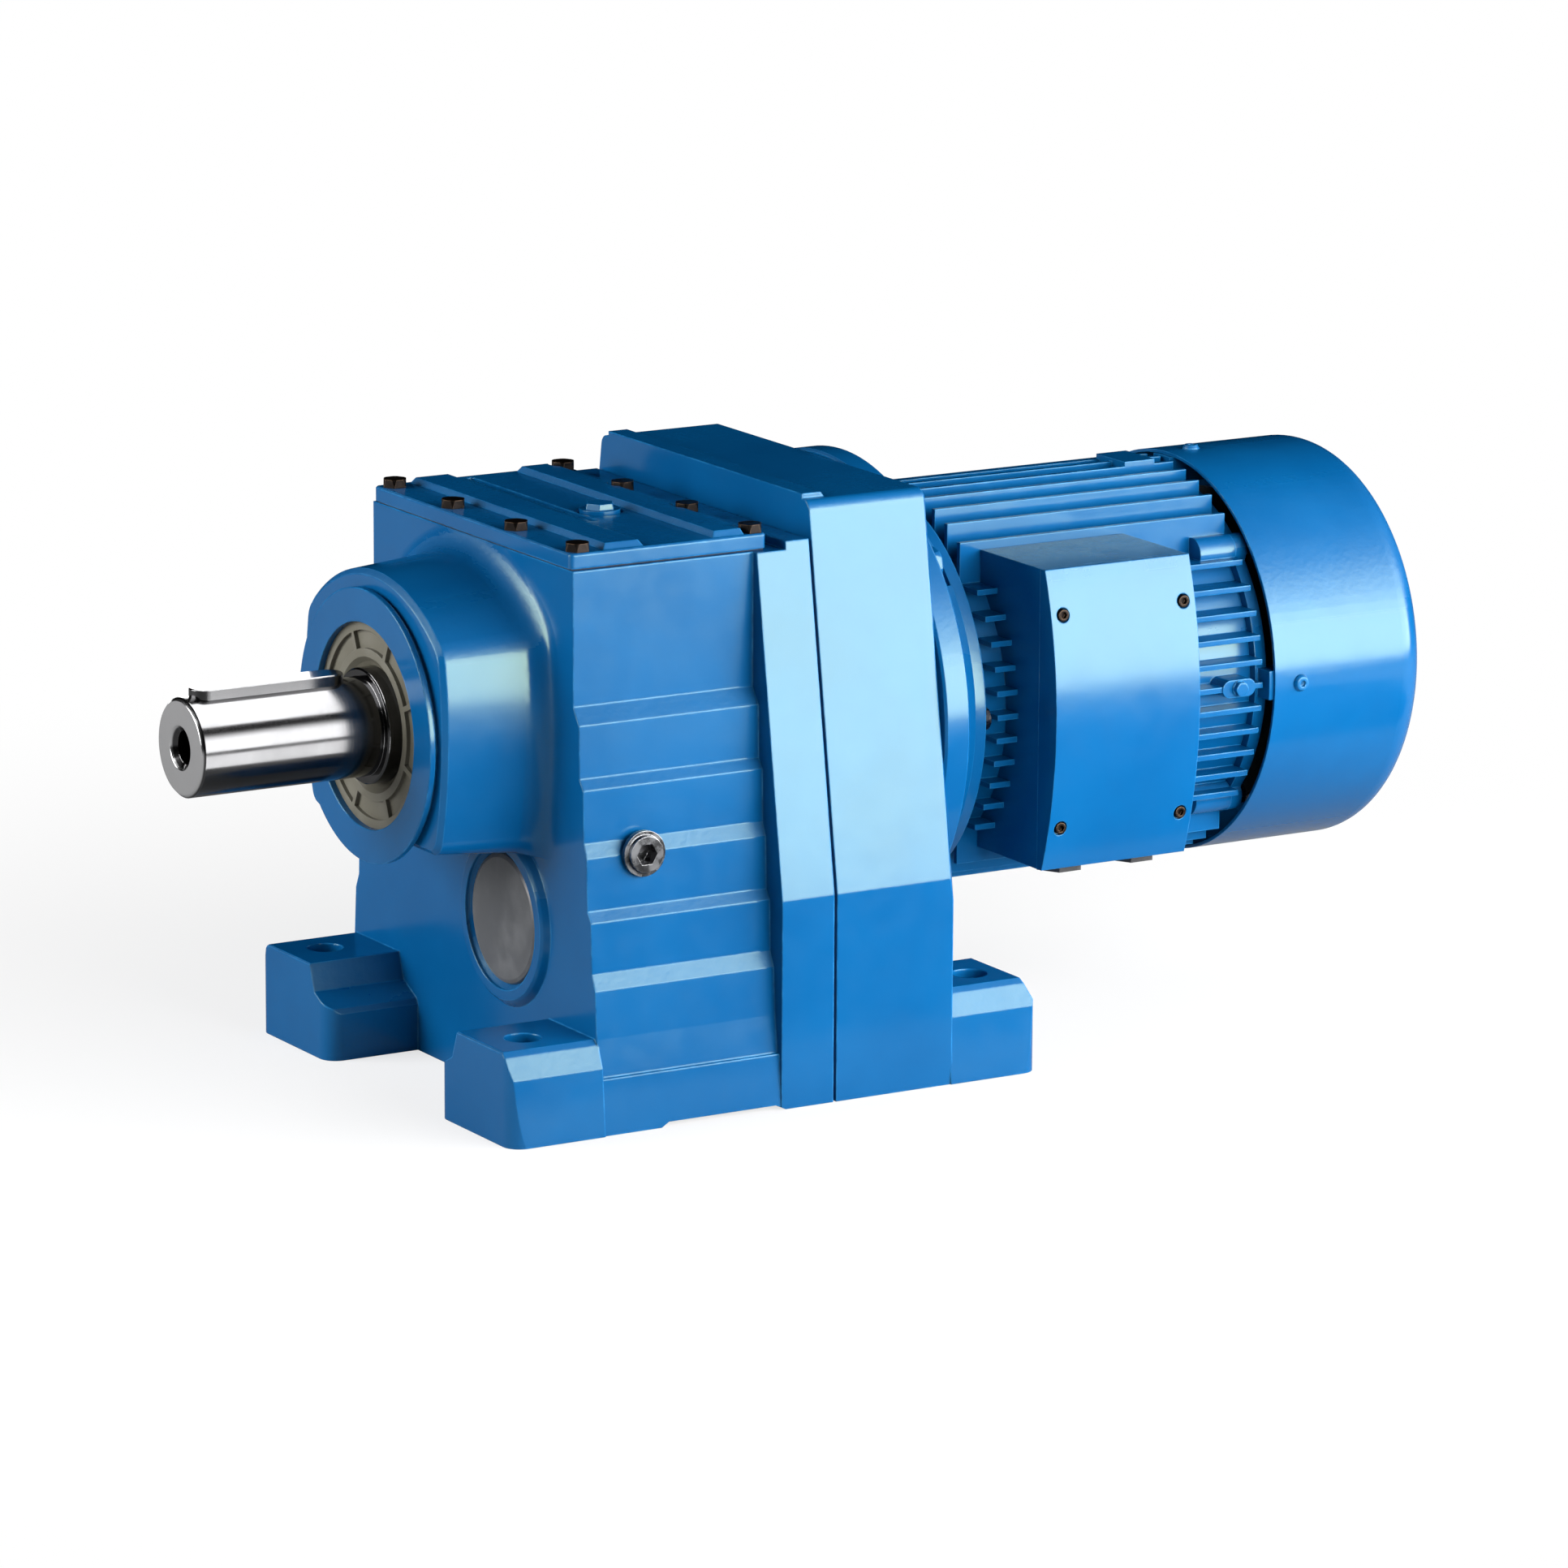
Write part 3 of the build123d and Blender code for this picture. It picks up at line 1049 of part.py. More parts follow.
with BuildPart() as end_shield_screws:
    with Locations(cross_plane(FRAME_X + 8, MOTOR_AXIS)):
        with PolarLocations(SHIELD_SCREW_R, 4):
            add(hex_screw(8, 22))
    with Locations(cross_plane(FRAME_END_X + 8, MOTOR_AXIS)):
        with PolarLocations(REAR_LUG_R, 4, start_angle=45):
            add(hex_screw(8, 22))
end_shield_screws.part.label = "end_shield_screws"
export_step(end_shield_screws.part, "parts/end_shield_screws.step")

with BuildPart() as fan_cover:
    # drawn sheet cover: straight wall, rounded corner and dished end
    corner = 20.0
    inner_corner = corner - COVER_WALL
    inner_end = COVER_END_X - COVER_WALL
    with BuildSketch(Plane.XZ):
        with BuildLine():
            axis_z = MOTOR_AXIS[1]
            rim = Line((COVER_RIM_X, axis_z + COVER_R), (COVER_END_X - corner, axis_z + COVER_R))
            outer = RadiusArc(rim @ 1, (COVER_END_X, axis_z + COVER_R - corner), corner)
            end = Polyline(outer @ 1, (COVER_END_X, axis_z), (inner_end, axis_z),
                           (inner_end, axis_z + COVER_R - corner))
            inner = RadiusArc(end @ 1, (COVER_END_X - corner, axis_z + COVER_R - COVER_WALL), -inner_corner)
            Polyline(inner @ 1, (COVER_RIM_X, axis_z + COVER_R - COVER_WALL), rim @ 0)
        make_face()
    revolve(axis=axis_at(MOTOR_AXIS))
    # air inlet: rings of slots in the end face
    with BuildSketch(cross_plane(COVER_END_X, MOTOR_AXIS)):
        for slot_ring in range(5):
            slot_r = 30 + 16 * slot_ring
            with PolarLocations(slot_r, 8, start_angle=22.5 * (slot_ring % 2)):
                SlotOverall(0.62 * slot_r, 7, rotation=90)
    extrude(amount=-COVER_WALL, mode=Mode.SUBTRACT)
    for turn_angle in (0, 90, 180, 270):
        with Locations(Location((COVER_SCREW_X_POS, MOTOR_AXIS[0], MOTOR_AXIS[1]), (turn_angle, 0, 0))):
            with Locations((0, 0, COVER_R)):
                Cylinder(3.5, 12, mode=Mode.SUBTRACT)
fan_cover.part.label = "fan_cover"
export_step(fan_cover.part, "parts/fan_cover.step")

with BuildPart() as cover_screw_shape:
    with BuildSketch(Plane.XY.offset(COVER_R)) as screw_head:
        Circle(5.5)
    extrude(amount=2.6, taper=30)
    with BuildSketch(Plane.XY.offset(COVER_R + 2.6)):
        RegularPolygon(2.2, 6)
    extrude(amount=-1.8, mode=Mode.SUBTRACT)
    with BuildSketch(Plane.XY.offset(COVER_R)):
        Circle(3)
    extrude(amount=-14)

with BuildPart() as fan_cover_screws:
    for turn_angle in (0, 90, 180, 270):
        with Locations(Location((COVER_SCREW_X_POS, MOTOR_AXIS[0], MOTOR_AXIS[1]), (turn_angle, 0, 0))):
            add(cover_screw_shape.part)
fan_cover_screws.part.label = "fan_cover_screws"
export_step(fan_cover_screws.part, "parts/fan_cover_screws.step")

# ================================================================ motor windings and rotor
SLOT_DEPTH = 21.0
SLOT_WIDTH = 5.6
SLOT_MIDDLE_R = ROTOR_R + AIR_GAP + 2 + SLOT_DEPTH / 2

with BuildPart() as stator_core:
    with BuildSketch(cross_plane(CORE_X, MOTOR_AXIS)):
        Circle(FRAME_BORE_R)
        Circle(ROTOR_R + AIR_GAP, mode=Mode.SUBTRACT)
        with PolarLocations(SLOT_MIDDLE_R, STATOR_SLOTS):
            Rectangle(SLOT_DEPTH, SLOT_WIDTH, mode=Mode.SUBTRACT)
    extrude(amount=CORE_LENGTH)
stator_core.part.label = "stator_core"
export_step(stator_core.part, "parts/stator_core.step")

with BuildPart() as stator_windings:
    with BuildSketch(cross_plane(CORE_X - 1, MOTOR_AXIS)):
        with PolarLocations(SLOT_MIDDLE_R, STATOR_SLOTS):
            Rectangle(SLOT_DEPTH, SLOT_WIDTH)
    extrude(amount=CORE_LENGTH + 2)
    coil_in = SLOT_MIDDLE_R - SLOT_DEPTH / 2 - 0.8
    coil_out = SLOT_MIDDLE_R + SLOT_DEPTH / 2 + 3
    for core_face, outward in ((CORE_X, -1), (CORE_X + CORE_LENGTH, 1)):
        add(turned([(core_face, coil_in), (core_face + outward * 20, coil_in + 2),
                    (core_face + outward * 25, coil_in + 7), (core_face + outward * 25, coil_out - 5),
                    (core_face + outward * 20, coil_out), (core_face, coil_out)], MOTOR_AXIS))
stator_windings.part.label = "stator_windings"
export_step(stator_windings.part, "parts/stator_windings.step")

CORE_SEAT_R = 24.0
FAN_SEAT_R = 16.0
PINION_SEAT_R = 14.0
FAN_X = 402.0

with BuildPart() as motor_shaft:
    journal_r = SMALL_BEARING[0]
    front_end = MOTOR_BEARINGS_X[0] + SMALL_BEARING[2]
    rear_seat = MOTOR_BEARINGS_X[1]
    add(turned([(40, 0), (40, PINION_SEAT_R - 1), (41, PINION_SEAT_R), (82, PINION_SEAT_R), (82, 17),
                (110, 17), (112, journal_r), (front_end, journal_r), (front_end, CORE_SEAT_R),
                (rear_seat, CORE_SEAT_R), (rear_seat, journal_r), (rear_seat + 20, journal_r),
                (rear_seat + 20, FAN_SEAT_R), (446, FAN_SEAT_R), (448, FAN_SEAT_R - 2), (448, 0)],
               MOTOR_AXIS))
motor_shaft.part.label = "motor_shaft"
export_step(motor_shaft.part, "parts/motor_shaft.step")

with BuildPart() as motor_pinion:
    add(helical_gear(PINION_1_TEETH, MODULE_1, HELIX_1, -1, PINION_1_X, PINION_1_WIDTH, MESH_1_X,
                     MOTOR_AXIS, MESH_1_ANGLE + pi + pi / PINION_1_TEETH, 4))
    add(ring(PINION_1_X, 82, 0, PINION_SEAT_R, MOTOR_AXIS), mode=Mode.SUBTRACT)
motor_pinion.part.label = "motor_pinion"
export_step(motor_pinion.part, "parts/motor_pinion.step")

with BuildPart() as rotor_core:
    add(ring(CORE_X, CORE_X + CORE_LENGTH, CORE_SEAT_R, ROTOR_R, MOTOR_AXIS))
    # cast cage end rings with stirring blades
    for ring_x, blade_x in ((CORE_X - 10, CORE_X - 24), (CORE_X + CORE_LENGTH, CORE_X + CORE_LENGTH + 10)):
        add(ring(ring_x, ring_x + 10, 42, ROTOR_R - 1, MOTOR_AXIS))
        with BuildSketch(cross_plane(blade_x, MOTOR_AXIS)):
            with PolarLocations(52, 12):
                Rectangle(14, 3)
        extrude(amount=14)
rotor_core.part.label = "rotor_core"
export_step(rotor_core.part, "parts/rotor_core.step")

with BuildPart() as cooling_fan:
    add(turned([(FAN_X, FAN_SEAT_R), (FAN_X + 40, FAN_SEAT_R), (FAN_X + 40, 24), (FAN_X + 14, 28),
                (FAN_X + 10, 100), (FAN_X + 6, 100), (FAN_X + 6, 30), (FAN_X, 28)], MOTOR_AXIS))
    with BuildSketch(cross_plane(FAN_X + 9, MOTOR_AXIS)):
        with PolarLocations(66, 7):
            Rectangle(72, 3)
    extrude(amount=34)
cooling_fan.part.label = "cooling_fan"
export_step(cooling_fan.part, "parts/cooling_fan.step")

with BuildPart() as motor_outer_rings:
    for bearing_x in MOTOR_BEARINGS_X:
        add(outer_race(SMALL_BEARING, bearing_x, MOTOR_AXIS))
motor_outer_rings.part.label = "motor_outer_rings"
export_step(motor_outer_rings.part, "parts/motor_outer_rings.step")

with BuildPart() as motor_inner_rings:
    for bearing_x in MOTOR_BEARINGS_X:
        add(inner_race(SMALL_BEARING, bearing_x, MOTOR_AXIS))
motor_inner_rings.part.label = "motor_inner_rings"
export_step(motor_inner_rings.part, "parts/motor_inner_rings.step")

with BuildPart() as motor_balls:
    for bearing_x in MOTOR_BEARINGS_X:
        add(ball_row(SMALL_BEARING, bearing_x, MOTOR_AXIS))
motor_balls.part.label = "motor_balls"
export_step(motor_balls.part, "parts/motor_balls.step")

with BuildPart() as motor_cages:
    for bearing_x in MOTOR_BEARINGS_X:
        add(ball_cage(SMALL_BEARING, bearing_x, MOTOR_AXIS))
motor_cages.part.label = "motor_cages"
export_step(motor_cages.part, "parts/motor_cages.step")

with BuildPart() as bearing_wave_spring:
    # preload spring between the rear bearing and its shield
    spring_x = MOTOR_BEARINGS_X[1] + SMALL_BEARING[2]
    add(ring(spring_x, spring_x + 2.8, 34.5, 39.5, MOTOR_AXIS))
bearing_wave_spring.part.label = "bearing_wave_spring"
export_step(bearing_wave_spring.part, "parts/bearing_wave_spring.step")

# ================================================================ terminal box
BOX_MID_X = (BOX_X[0] + BOX_X[1]) / 2
BOX_MID_Z = (BOX_Z[0] + BOX_Z[1]) / 2
BOX_W = BOX_X[1] - BOX_X[0]
BOX_H = BOX_Z[1] - BOX_Z[0]
BOX_FLOOR = 8.0
LID_SCREWS = [
    (BOX_MID_X + sx * (BOX_W / 2 - LID_SCREW_INSET[0]), BOX_MID_Z + sz * (BOX_H / 2 - LID_SCREW_INSET[1]))
    for sx in (-1, 1) for sz in (-1, 1)
]
PLUG_PLACES = (BOX_MID_X - 26, BOX_MID_X + 26)

with BuildPart() as terminal_box:
    with BuildSketch(Plane.XZ.offset(-BOX_BACK_Y)):
        with Locations((BOX_MID_X, BOX_MID_Z)):
            Rectangle(BOX_W, BOX_H)
    extrude(amount=BOX_BACK_Y - BOX_LID_Y)
    # hollow with corner posts for the lid screws
    with BuildSketch(Plane.XZ.offset(-BOX_LID_Y)):
        with Locations((BOX_MID_X, BOX_MID_Z)):
            Rectangle(BOX_W - 2 * BOX_WALL, BOX_H - 2 * BOX_WALL)
        with Locations(*LID_SCREWS):
            Circle(7, mode=Mode.SUBTRACT)
    extrude(amount=BOX_LID_Y - BOX_BACK_Y, mode=Mode.SUBTRACT)
    # curved floor that follows the frame
    with BuildPart(mode=Mode.PRIVATE) as box_floor:
        with BuildSketch(Plane.XZ.offset(-BOX_BACK_Y)):
            with Locations((BOX_MID_X, BOX_MID_Z)):
                Rectangle(BOX_W, BOX_H)
        extrude(amount=50)
        add(ring(FRAME_X, FRAME_END_X, 0, FRAME_R + BOX_FLOOR, MOTOR_AXIS), mode=Mode.INTERSECT)
    add(box_floor.part)
    add(ring(FRAME_X, FRAME_END_X, 0, FRAME_R, MOTOR_AXIS), mode=Mode.SUBTRACT)
    # cable passage, lid screw holes and cable entries
    with BuildSketch(Plane.XZ.offset(FRAME_R - 20)):
        with Locations((BOX_MID_X - 35, MOTOR_AXIS[1])):
            Circle(9)
    extrude(amount=40, mode=Mode.SUBTRACT)
    with BuildSketch(Plane.XZ.offset(-BOX_LID_Y)):
        with Locations(*LID_SCREWS):
            Circle(2.5)
    extrude(amount=-20, mode=Mode.SUBTRACT)
    with BuildSketch(Plane.XY.offset(BOX_Z[0])):
        with Locations(*[(x, -127) for x in PLUG_PLACES]):
            Circle(12.5)
    extrude(amount=BOX_WALL, mode=Mode.SUBTRACT)
terminal_box.part.label = "terminal_box"
export_step(terminal_box.part, "parts/terminal_box.step")

with BuildPart() as terminal_box_lid:
    lid_face = BOX_LID_Y - LID_EDGE
    with BuildSketch(Plane.YZ.offset(BOX_X[0])):
        with BuildLine():
            ThreePointArc((lid_face, BOX_Z[0]), (lid_face - LID_BOW, BOX_MID_Z), (lid_face, BOX_Z[1]))
            Polyline((lid_face, BOX_Z[1]), (BOX_LID_Y, BOX_Z[1]), (BOX_LID_Y, BOX_Z[0]), (lid_face, BOX_Z[0]))
        make_face()
    extrude(amount=BOX_W)
    # hollow behind the bowed face
    with BuildSketch(Plane.YZ.offset(BOX_X[0] + 17)):
        with BuildLine():
            ThreePointArc((BOX_LID_Y, BOX_Z[0] + 10), (lid_face - LID_BOW + 5, BOX_MID_Z),
                          (BOX_LID_Y, BOX_Z[1] - 10))
            Line((BOX_LID_Y, BOX_Z[1] - 10), (BOX_LID_Y, BOX_Z[0] + 10))
        make_face()
    extrude(amount=BOX_W - 34, mode=Mode.SUBTRACT)
    with BuildSketch(Plane.XZ.offset(-BOX_LID_Y)):
        with Locations(*LID_SCREWS):
            Circle(2.8)
    extrude(amount=40, mode=Mode.SUBTRACT)
    with BuildSketch(Plane.XZ.offset(LID_EDGE + 3.5 - BOX_LID_Y)):
        with Locations(*LID_SCREWS):
            Circle(4.6)
    extrude(amount=40, mode=Mode.SUBTRACT)
terminal_box_lid.part.label = "terminal_box_lid"
export_step(terminal_box_lid.part, "parts/terminal_box_lid.step")

with BuildPart(Plane.XZ.offset(LID_EDGE + 3.5 - BOX_LID_Y)) as terminal_lid_screws:
    with Locations(*LID_SCREWS):
        add(socket_screw(5, 22))
terminal_lid_screws.part.label = "terminal_lid_screws"
export_step(terminal_lid_screws.part, "parts/terminal_lid_screws.step")

BOARD_Y = -(FRAME_R + BOX_FLOOR)
STUDS = [(BOX_MID_X + 8 + 18 * n, MOTOR_AXIS[1] + row) for n in (-1, 0, 1) for row in (-12, 12)]

with BuildPart() as terminal_board:
    with BuildSketch(Plane.XZ.offset(-BOARD_Y)):
        with Locations((BOX_MID_X + 8, MOTOR_AXIS[1])):
            RectangleRounded(62, 50, 3)
    extrude(amount=8)
    with BuildSketch(Plane.XZ.offset(-BOARD_Y)):
        with Locations(*STUDS):
            Circle(2.5)
    extrude(amount=8, mode=Mode.SUBTRACT)
terminal_board.part.label = "terminal_board"
export_step(terminal_board.part, "parts/terminal_board.step")

with BuildPart() as terminal_studs:
    with BuildSketch(Plane.XZ.offset(-BOARD_Y)):
        with Locations(*STUDS):
            Circle(2.5)
    extrude(amount=22)
    with BuildSketch(Plane.XZ.offset(8 - BOARD_Y)):
        with Locations(*STUDS):
            RegularPolygon(4.6, 6)
    extrude(amount=4)
terminal_studs.part.label = "terminal_studs"
export_step(terminal_studs.part, "parts/terminal_studs.step")

with BuildPart() as cable_plugs:
    with BuildSketch(Plane.XY.offset(BOX_Z[0])):
        with Locations(*[(x, -127) for x in PLUG_PLACES]):
            RegularPolygon(15.5, 6)
    extrude(amount=-5)
    with BuildSketch(Plane.XY.offset(BOX_Z[0])):
        with Locations(*[(x, -127) for x in PLUG_PLACES]):
            Circle(12.5)
    extrude(amount=9)
cable_plugs.part.label = "cable_plugs"
export_step(cable_plugs.part, "parts/cable_plugs.step")
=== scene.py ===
"""Looks of the foot-mounted helical geared motor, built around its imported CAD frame.

Every material is procedural.  Lengths are metres in the frame of the part: +X runs from the output
shaft to the motor fan, +Z is up, and the near side with the terminal box faces -Y.
"""
import math

import bpy
from mathutils import Matrix, Vector


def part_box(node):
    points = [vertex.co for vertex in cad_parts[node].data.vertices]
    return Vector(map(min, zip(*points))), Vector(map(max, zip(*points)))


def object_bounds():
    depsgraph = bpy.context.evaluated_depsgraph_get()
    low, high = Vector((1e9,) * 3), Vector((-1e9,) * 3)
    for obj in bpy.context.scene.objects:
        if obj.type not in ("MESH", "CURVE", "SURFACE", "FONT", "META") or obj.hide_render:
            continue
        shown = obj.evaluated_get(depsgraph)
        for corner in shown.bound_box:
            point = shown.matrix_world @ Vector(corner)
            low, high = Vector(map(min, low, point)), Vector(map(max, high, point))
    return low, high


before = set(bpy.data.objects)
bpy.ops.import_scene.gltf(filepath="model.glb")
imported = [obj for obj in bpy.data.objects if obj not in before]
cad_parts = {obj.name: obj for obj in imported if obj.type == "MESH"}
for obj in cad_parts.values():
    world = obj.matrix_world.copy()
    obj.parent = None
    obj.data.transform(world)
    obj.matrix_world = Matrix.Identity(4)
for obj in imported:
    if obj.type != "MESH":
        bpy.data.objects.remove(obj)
cad_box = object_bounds()

# ---------------------------------------------------------------- driving values
OUTPUT_AXIS_Z = sum(corner.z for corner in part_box("output_oil_seal")) / 2
SHAFT_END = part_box("output_shaft")[0].x

ENAMEL_BLUE = (0.0014, 0.086, 0.250, 1)
ENAMEL_DEEP = (0.0010, 0.074, 0.222, 1)
# pale blue for the edges: partly worn enamel, partly a painted highlight on the rounded edges
ENAMEL_WORN_AND_LIT_EDGE = (0.020, 0.220, 0.520, 1)
ENAMEL_SHINE = (0.74, 1.0, 0.66, 1)
STEEL_LIGHT = (0.78, 0.78, 0.79, 1)
STEEL_GREY = (0.42, 0.42, 0.44, 1)
STEEL_DARK = (0.088, 0.088, 0.090, 1)
BLACK_OXIDE = (0.022, 0.018, 0.016, 1)
BRONZED = (0.20, 0.125, 0.075, 1)

VIEW_AZIMUTH = math.radians(-30.85)
VIEW_ELEVATION = math.radians(13.02)
VIEW_ROLL = math.radians(0.3)
VIEW_TARGET = Vector((0.0981, 0.0, 0.1563))
VIEW_DISTANCE = 5.0446
VIEW_LENS = 188.6
SENSOR_WIDTH = 36.0

METAL_GRAIN_SCALE = 1760
METAL_GRAIN_DEPTH = 0.00001
LEDGE_ROUGHNESS = 0.22               # added to the enamel where cast grain is strongest

WORLD_LIGHT = 0.16
WORLD_REFLECTION = 0.004             # the gloss mirrors a nearly dark room
FLOOR_HALF = 14.0
SHADOW_REACH = 1.1                   # beyond this distance the floor is plain white
FLOOR_GLOW = 0.72                    # share of plain white right under the object
KEY_BEARING = math.radians(-57.5)    # the key light stands here, seen from the object
KEY_DISTANCE = 1.45


# ================================================================ node helpers
def add_node(tree, kind, inputs, **settings):
    """One shader node; each input is a socket to link or a value to set."""
    node = tree.nodes.new(kind)
    for key, value in settings.items():
        setattr(node, key, value)
    for key, value in inputs.items():
        if isinstance(value, bpy.types.NodeSocket):
            tree.links.new(value, node.inputs[key])
        else:
            node.inputs[key].default_value = value
    return node


def calc(tree, operation, first, second=0.0):
    """Result of one sum on sockets or numbers."""
    return add_node(tree, "ShaderNodeMath", {0: first, 1: second}, operation=operation).outputs[0]


def blend(tree, share, low, high):
    """Colour that runs from low to high as share goes from 0 to 1."""
    return add_node(tree, "ShaderNodeMixRGB", {"Fac": share, "Color1": low, "Color2": high}).outputs[0]


def spread(tree, value, start, end, low=0.0, high=1.0):
    """Smooth ramp of a value from start..end to low..high."""
    inputs = {"Value": value, "From Min": start, "From Max": end, "To Min": low, "To Max": high}
    return add_node(tree, "ShaderNodeMapRange", inputs, interpolation_type="SMOOTHSTEP").outputs[0]


def place(tree):
    """Position on the piece in the frame of the part, which moves with the piece."""
    return add_node(tree, "ShaderNodeTexCoord", {}).outputs["Object"]


def turned_place(tree, axis_z):
    """Position as (x, radius, 0) about an axis along X, for the marks of turning and grinding."""
    x, y, z = add_node(tree, "ShaderNodeSeparateXYZ", {0: place(tree)}).outputs
    height = calc(tree, "SUBTRACT", z, axis_z)
    radius = calc(tree, "SQRT", calc(tree, "ADD", calc(tree, "POWER", y, 2), calc(tree, "POWER", height, 2)))
    return add_node(tree, "ShaderNodeCombineXYZ", {0: x, 1: radius}).outputs[0]


def noise(tree, where, scale, detail=3.0, roughness=0.55):
    """Cloudy noise from 0 to 1; scale is in features per metre."""
    inputs = {"Vector": where, "Scale": scale, "Detail": detail, "Roughness": roughness}
    return add_node(tree, "ShaderNodeTexNoise", inputs).outputs["Fac"]


def bump(tree, height, depth, normal=None):
    """Relief of the given depth in metres on top of a normal."""
    inputs = {"Height": height, "Distance": depth, "Strength": 1.0}
    if normal is not None:
        inputs["Normal"] = normal
    return add_node(tree, "ShaderNodeBump", inputs).outputs[0]


def soft_edges(tree, radius):
    """Normal with small rounded edges, and a mask that is 1 on those edges."""
    rounded = add_node(tree, "ShaderNodeBevel", {"Radius": radius}, samples=6).outputs[0]
    flat = add_node(tree, "ShaderNodeNewGeometry", {}).outputs["True Normal"]
    agreement = add_node(tree, "ShaderNodeVectorMath", {0: rounded, 1: flat}, operation="DOT_PRODUCT")
    return rounded, spread(tree, agreement.outputs["Value"], 0.995, 0.90)


def material(name):
    """Empty procedural material with its Principled shader and output."""
    made = bpy.data.materials.new(name)
    made.use_nodes = True
    tree = made.node_tree
    tree.nodes.clear()
    surface = add_node(tree, "ShaderNodeBsdfPrincipled", {})
    add_node(tree, "ShaderNodeOutputMaterial", {"Surface": surface.outputs[0]})
    return made, tree, surface


def finish_surface(tree, surface, values):
    """Set or link the inputs of a Principled shader."""
    for key, value in values.items():
        if isinstance(value, bpy.types.NodeSocket):
            tree.links.new(value, surface.inputs[key])
        else:
            surface.inputs[key].default_value = value


# ================================================================ materials
def enamel(name, cast_depth, edge_radius):
    """Blue machine enamel: mottled tone, orange peel, cast grain and thin edges painted lighter, partly as
    wear and partly as a painted highlight.
    """
    made, tree, surface = material(name)
    where = place(tree)
    rounded, edge = soft_edges(tree, edge_radius)
    cloud = noise(tree, where, 9, 4)
    mottle = noise(tree, where, 70, 4)
    tone = blend(tree, spread(tree, cloud, 0.35, 0.68), ENAMEL_DEEP, ENAMEL_BLUE)
    # the lighter edges are partly real wear and partly a painted highlight where rounded edges catch the
    # light
    worn_and_lit_edges = calc(tree, "MULTIPLY", edge, spread(tree, mottle, 0.40, 0.62, 0.25, 0.85))
    colour = blend(tree, worn_and_lit_edges, tone, ENAMEL_WORN_AND_LIT_EDGE)
    # cast grain is strongest on sloping ledges, where the mould sand clung; level tops are dusty
    flat = add_node(tree, "ShaderNodeNewGeometry", {}).outputs["True Normal"]
    upward = add_node(tree, "ShaderNodeSeparateXYZ", {0: flat}).outputs[2]
    ledge = calc(tree, "MULTIPLY", spread(tree, upward, 0.22, 0.42), spread(tree, upward, 0.97, 0.8))
    grain = noise(tree, where, 260, 2, 0.5)
    depth = spread(tree, ledge, 0, 1, cast_depth, cast_depth * 20)
    peel = noise(tree, where, 900, 2)
    relief = bump(tree, calc(tree, "MULTIPLY", grain, depth), 1.0, rounded)
    relief = bump(tree, peel, 0.000006, relief)
    gloss = spread(tree, mottle, 0.3, 0.7, 0.165, 0.205)
    finish_surface(tree, surface, {
        "Base Color": colour,
        "Roughness": calc(tree, "ADD", gloss, calc(tree, "MULTIPLY", ledge, LEDGE_ROUGHNESS)),
        "IOR": 1.52,
        "Specular IOR Level": spread(tree, upward, 0.90, 0.99, 0.5, 0.12),
        "Specular Tint": ENAMEL_SHINE,
        "Normal": relief,
    })
    return made


def ground_steel(name, axis_z, shade, roughness):
    """Turned and ground steel: fine rings round the axis, with faint smears of oil."""
    made, tree, surface = material(name)
    rings = noise(tree, turned_place(tree, axis_z), 2600, 2, 0.6)
    smear = noise(tree, place(tree), 26, 5)
    rounded, edge = soft_edges(tree, 0.0006)
    oiled = tuple(0.86 * part for part in shade[:3]) + (1,)
    tone = blend(tree, spread(tree, smear, 0.3, 0.7), shade, oiled)
    # the end face of the output shaft is painted light steel, a painted highlight, while the rest of the
    # shaft stays dark
    along = add_node(tree, "ShaderNodeSeparateXYZ", {0: place(tree)}).outputs[0]
    tone = blend(tree, spread(tree, along, SHAFT_END + 0.0015, SHAFT_END + 0.0005), tone, STEEL_LIGHT)
    finish_surface(tree, surface, {
        "Base Color": blend(tree, calc(tree, "MULTIPLY", edge, 0.15), tone, (0.9, 0.9, 0.9, 1)),
        "Metallic": 1.0,
        "Roughness": spread(tree, calc(tree, "ADD", rings, calc(tree, "MULTIPLY", smear, 0.5)), 0.5, 1.0,
                            roughness, roughness + 0.12),
        "Normal": bump(tree, rings, 0.0000025, rounded),
    })
    return made


def plain_metal(name, shade, worn, roughness, wear=0.6):
    """Metal with blotches, a little grain and brighter edges."""
    made, tree, surface = material(name)
    where = place(tree)
    blotch = noise(tree, where, 140, 4)
    grain = noise(tree, where, METAL_GRAIN_SCALE, 3)
    rounded, edge = soft_edges(tree, 0.0005)
    dark = tuple(0.7 * part for part in shade[:3]) + (1,)
    tone = blend(tree, spread(tree, blotch, 0.35, 0.65), dark, shade)
    finish_surface(tree, surface, {
        "Base Color": blend(tree, calc(tree, "MULTIPLY", edge, wear), tone, worn),
        "Metallic": 1.0,
        "Roughness": spread(tree, blotch, 0.3, 0.7, roughness, roughness + 0.15),
        "Normal": bump(tree, grain, METAL_GRAIN_DEPTH, rounded),
    })
    return made


def dull_solid(name, shade, roughness, grain_scale, grain_depth, dust=0.25):
    """Rubber, fibre or moulded plastic: matt, grained, with pale dust in the tone."""
    made, tree, surface = material(name)
    where = place(tree)
    cloud = noise(tree, where, 60, 4)
    grain = noise(tree, where, grain_scale, 4)
    rounded, edge = soft_edges(tree, 0.0005)
    pale = tuple(part + 0.10 for part in shade[:3]) + (1,)
    tone = blend(tree, spread(tree, cloud, 0.4, 0.75, 0, dust), shade, pale)
    finish_surface(tree, surface, {
        "Base Color": blend(tree, calc(tree, "MULTIPLY", edge, 0.3), tone, pale),
        "Roughness": spread(tree, cloud, 0.3, 0.7, roughness, roughness + 0.12),
        "Normal": bump(tree, grain, grain_depth, rounded),
    })
    return made


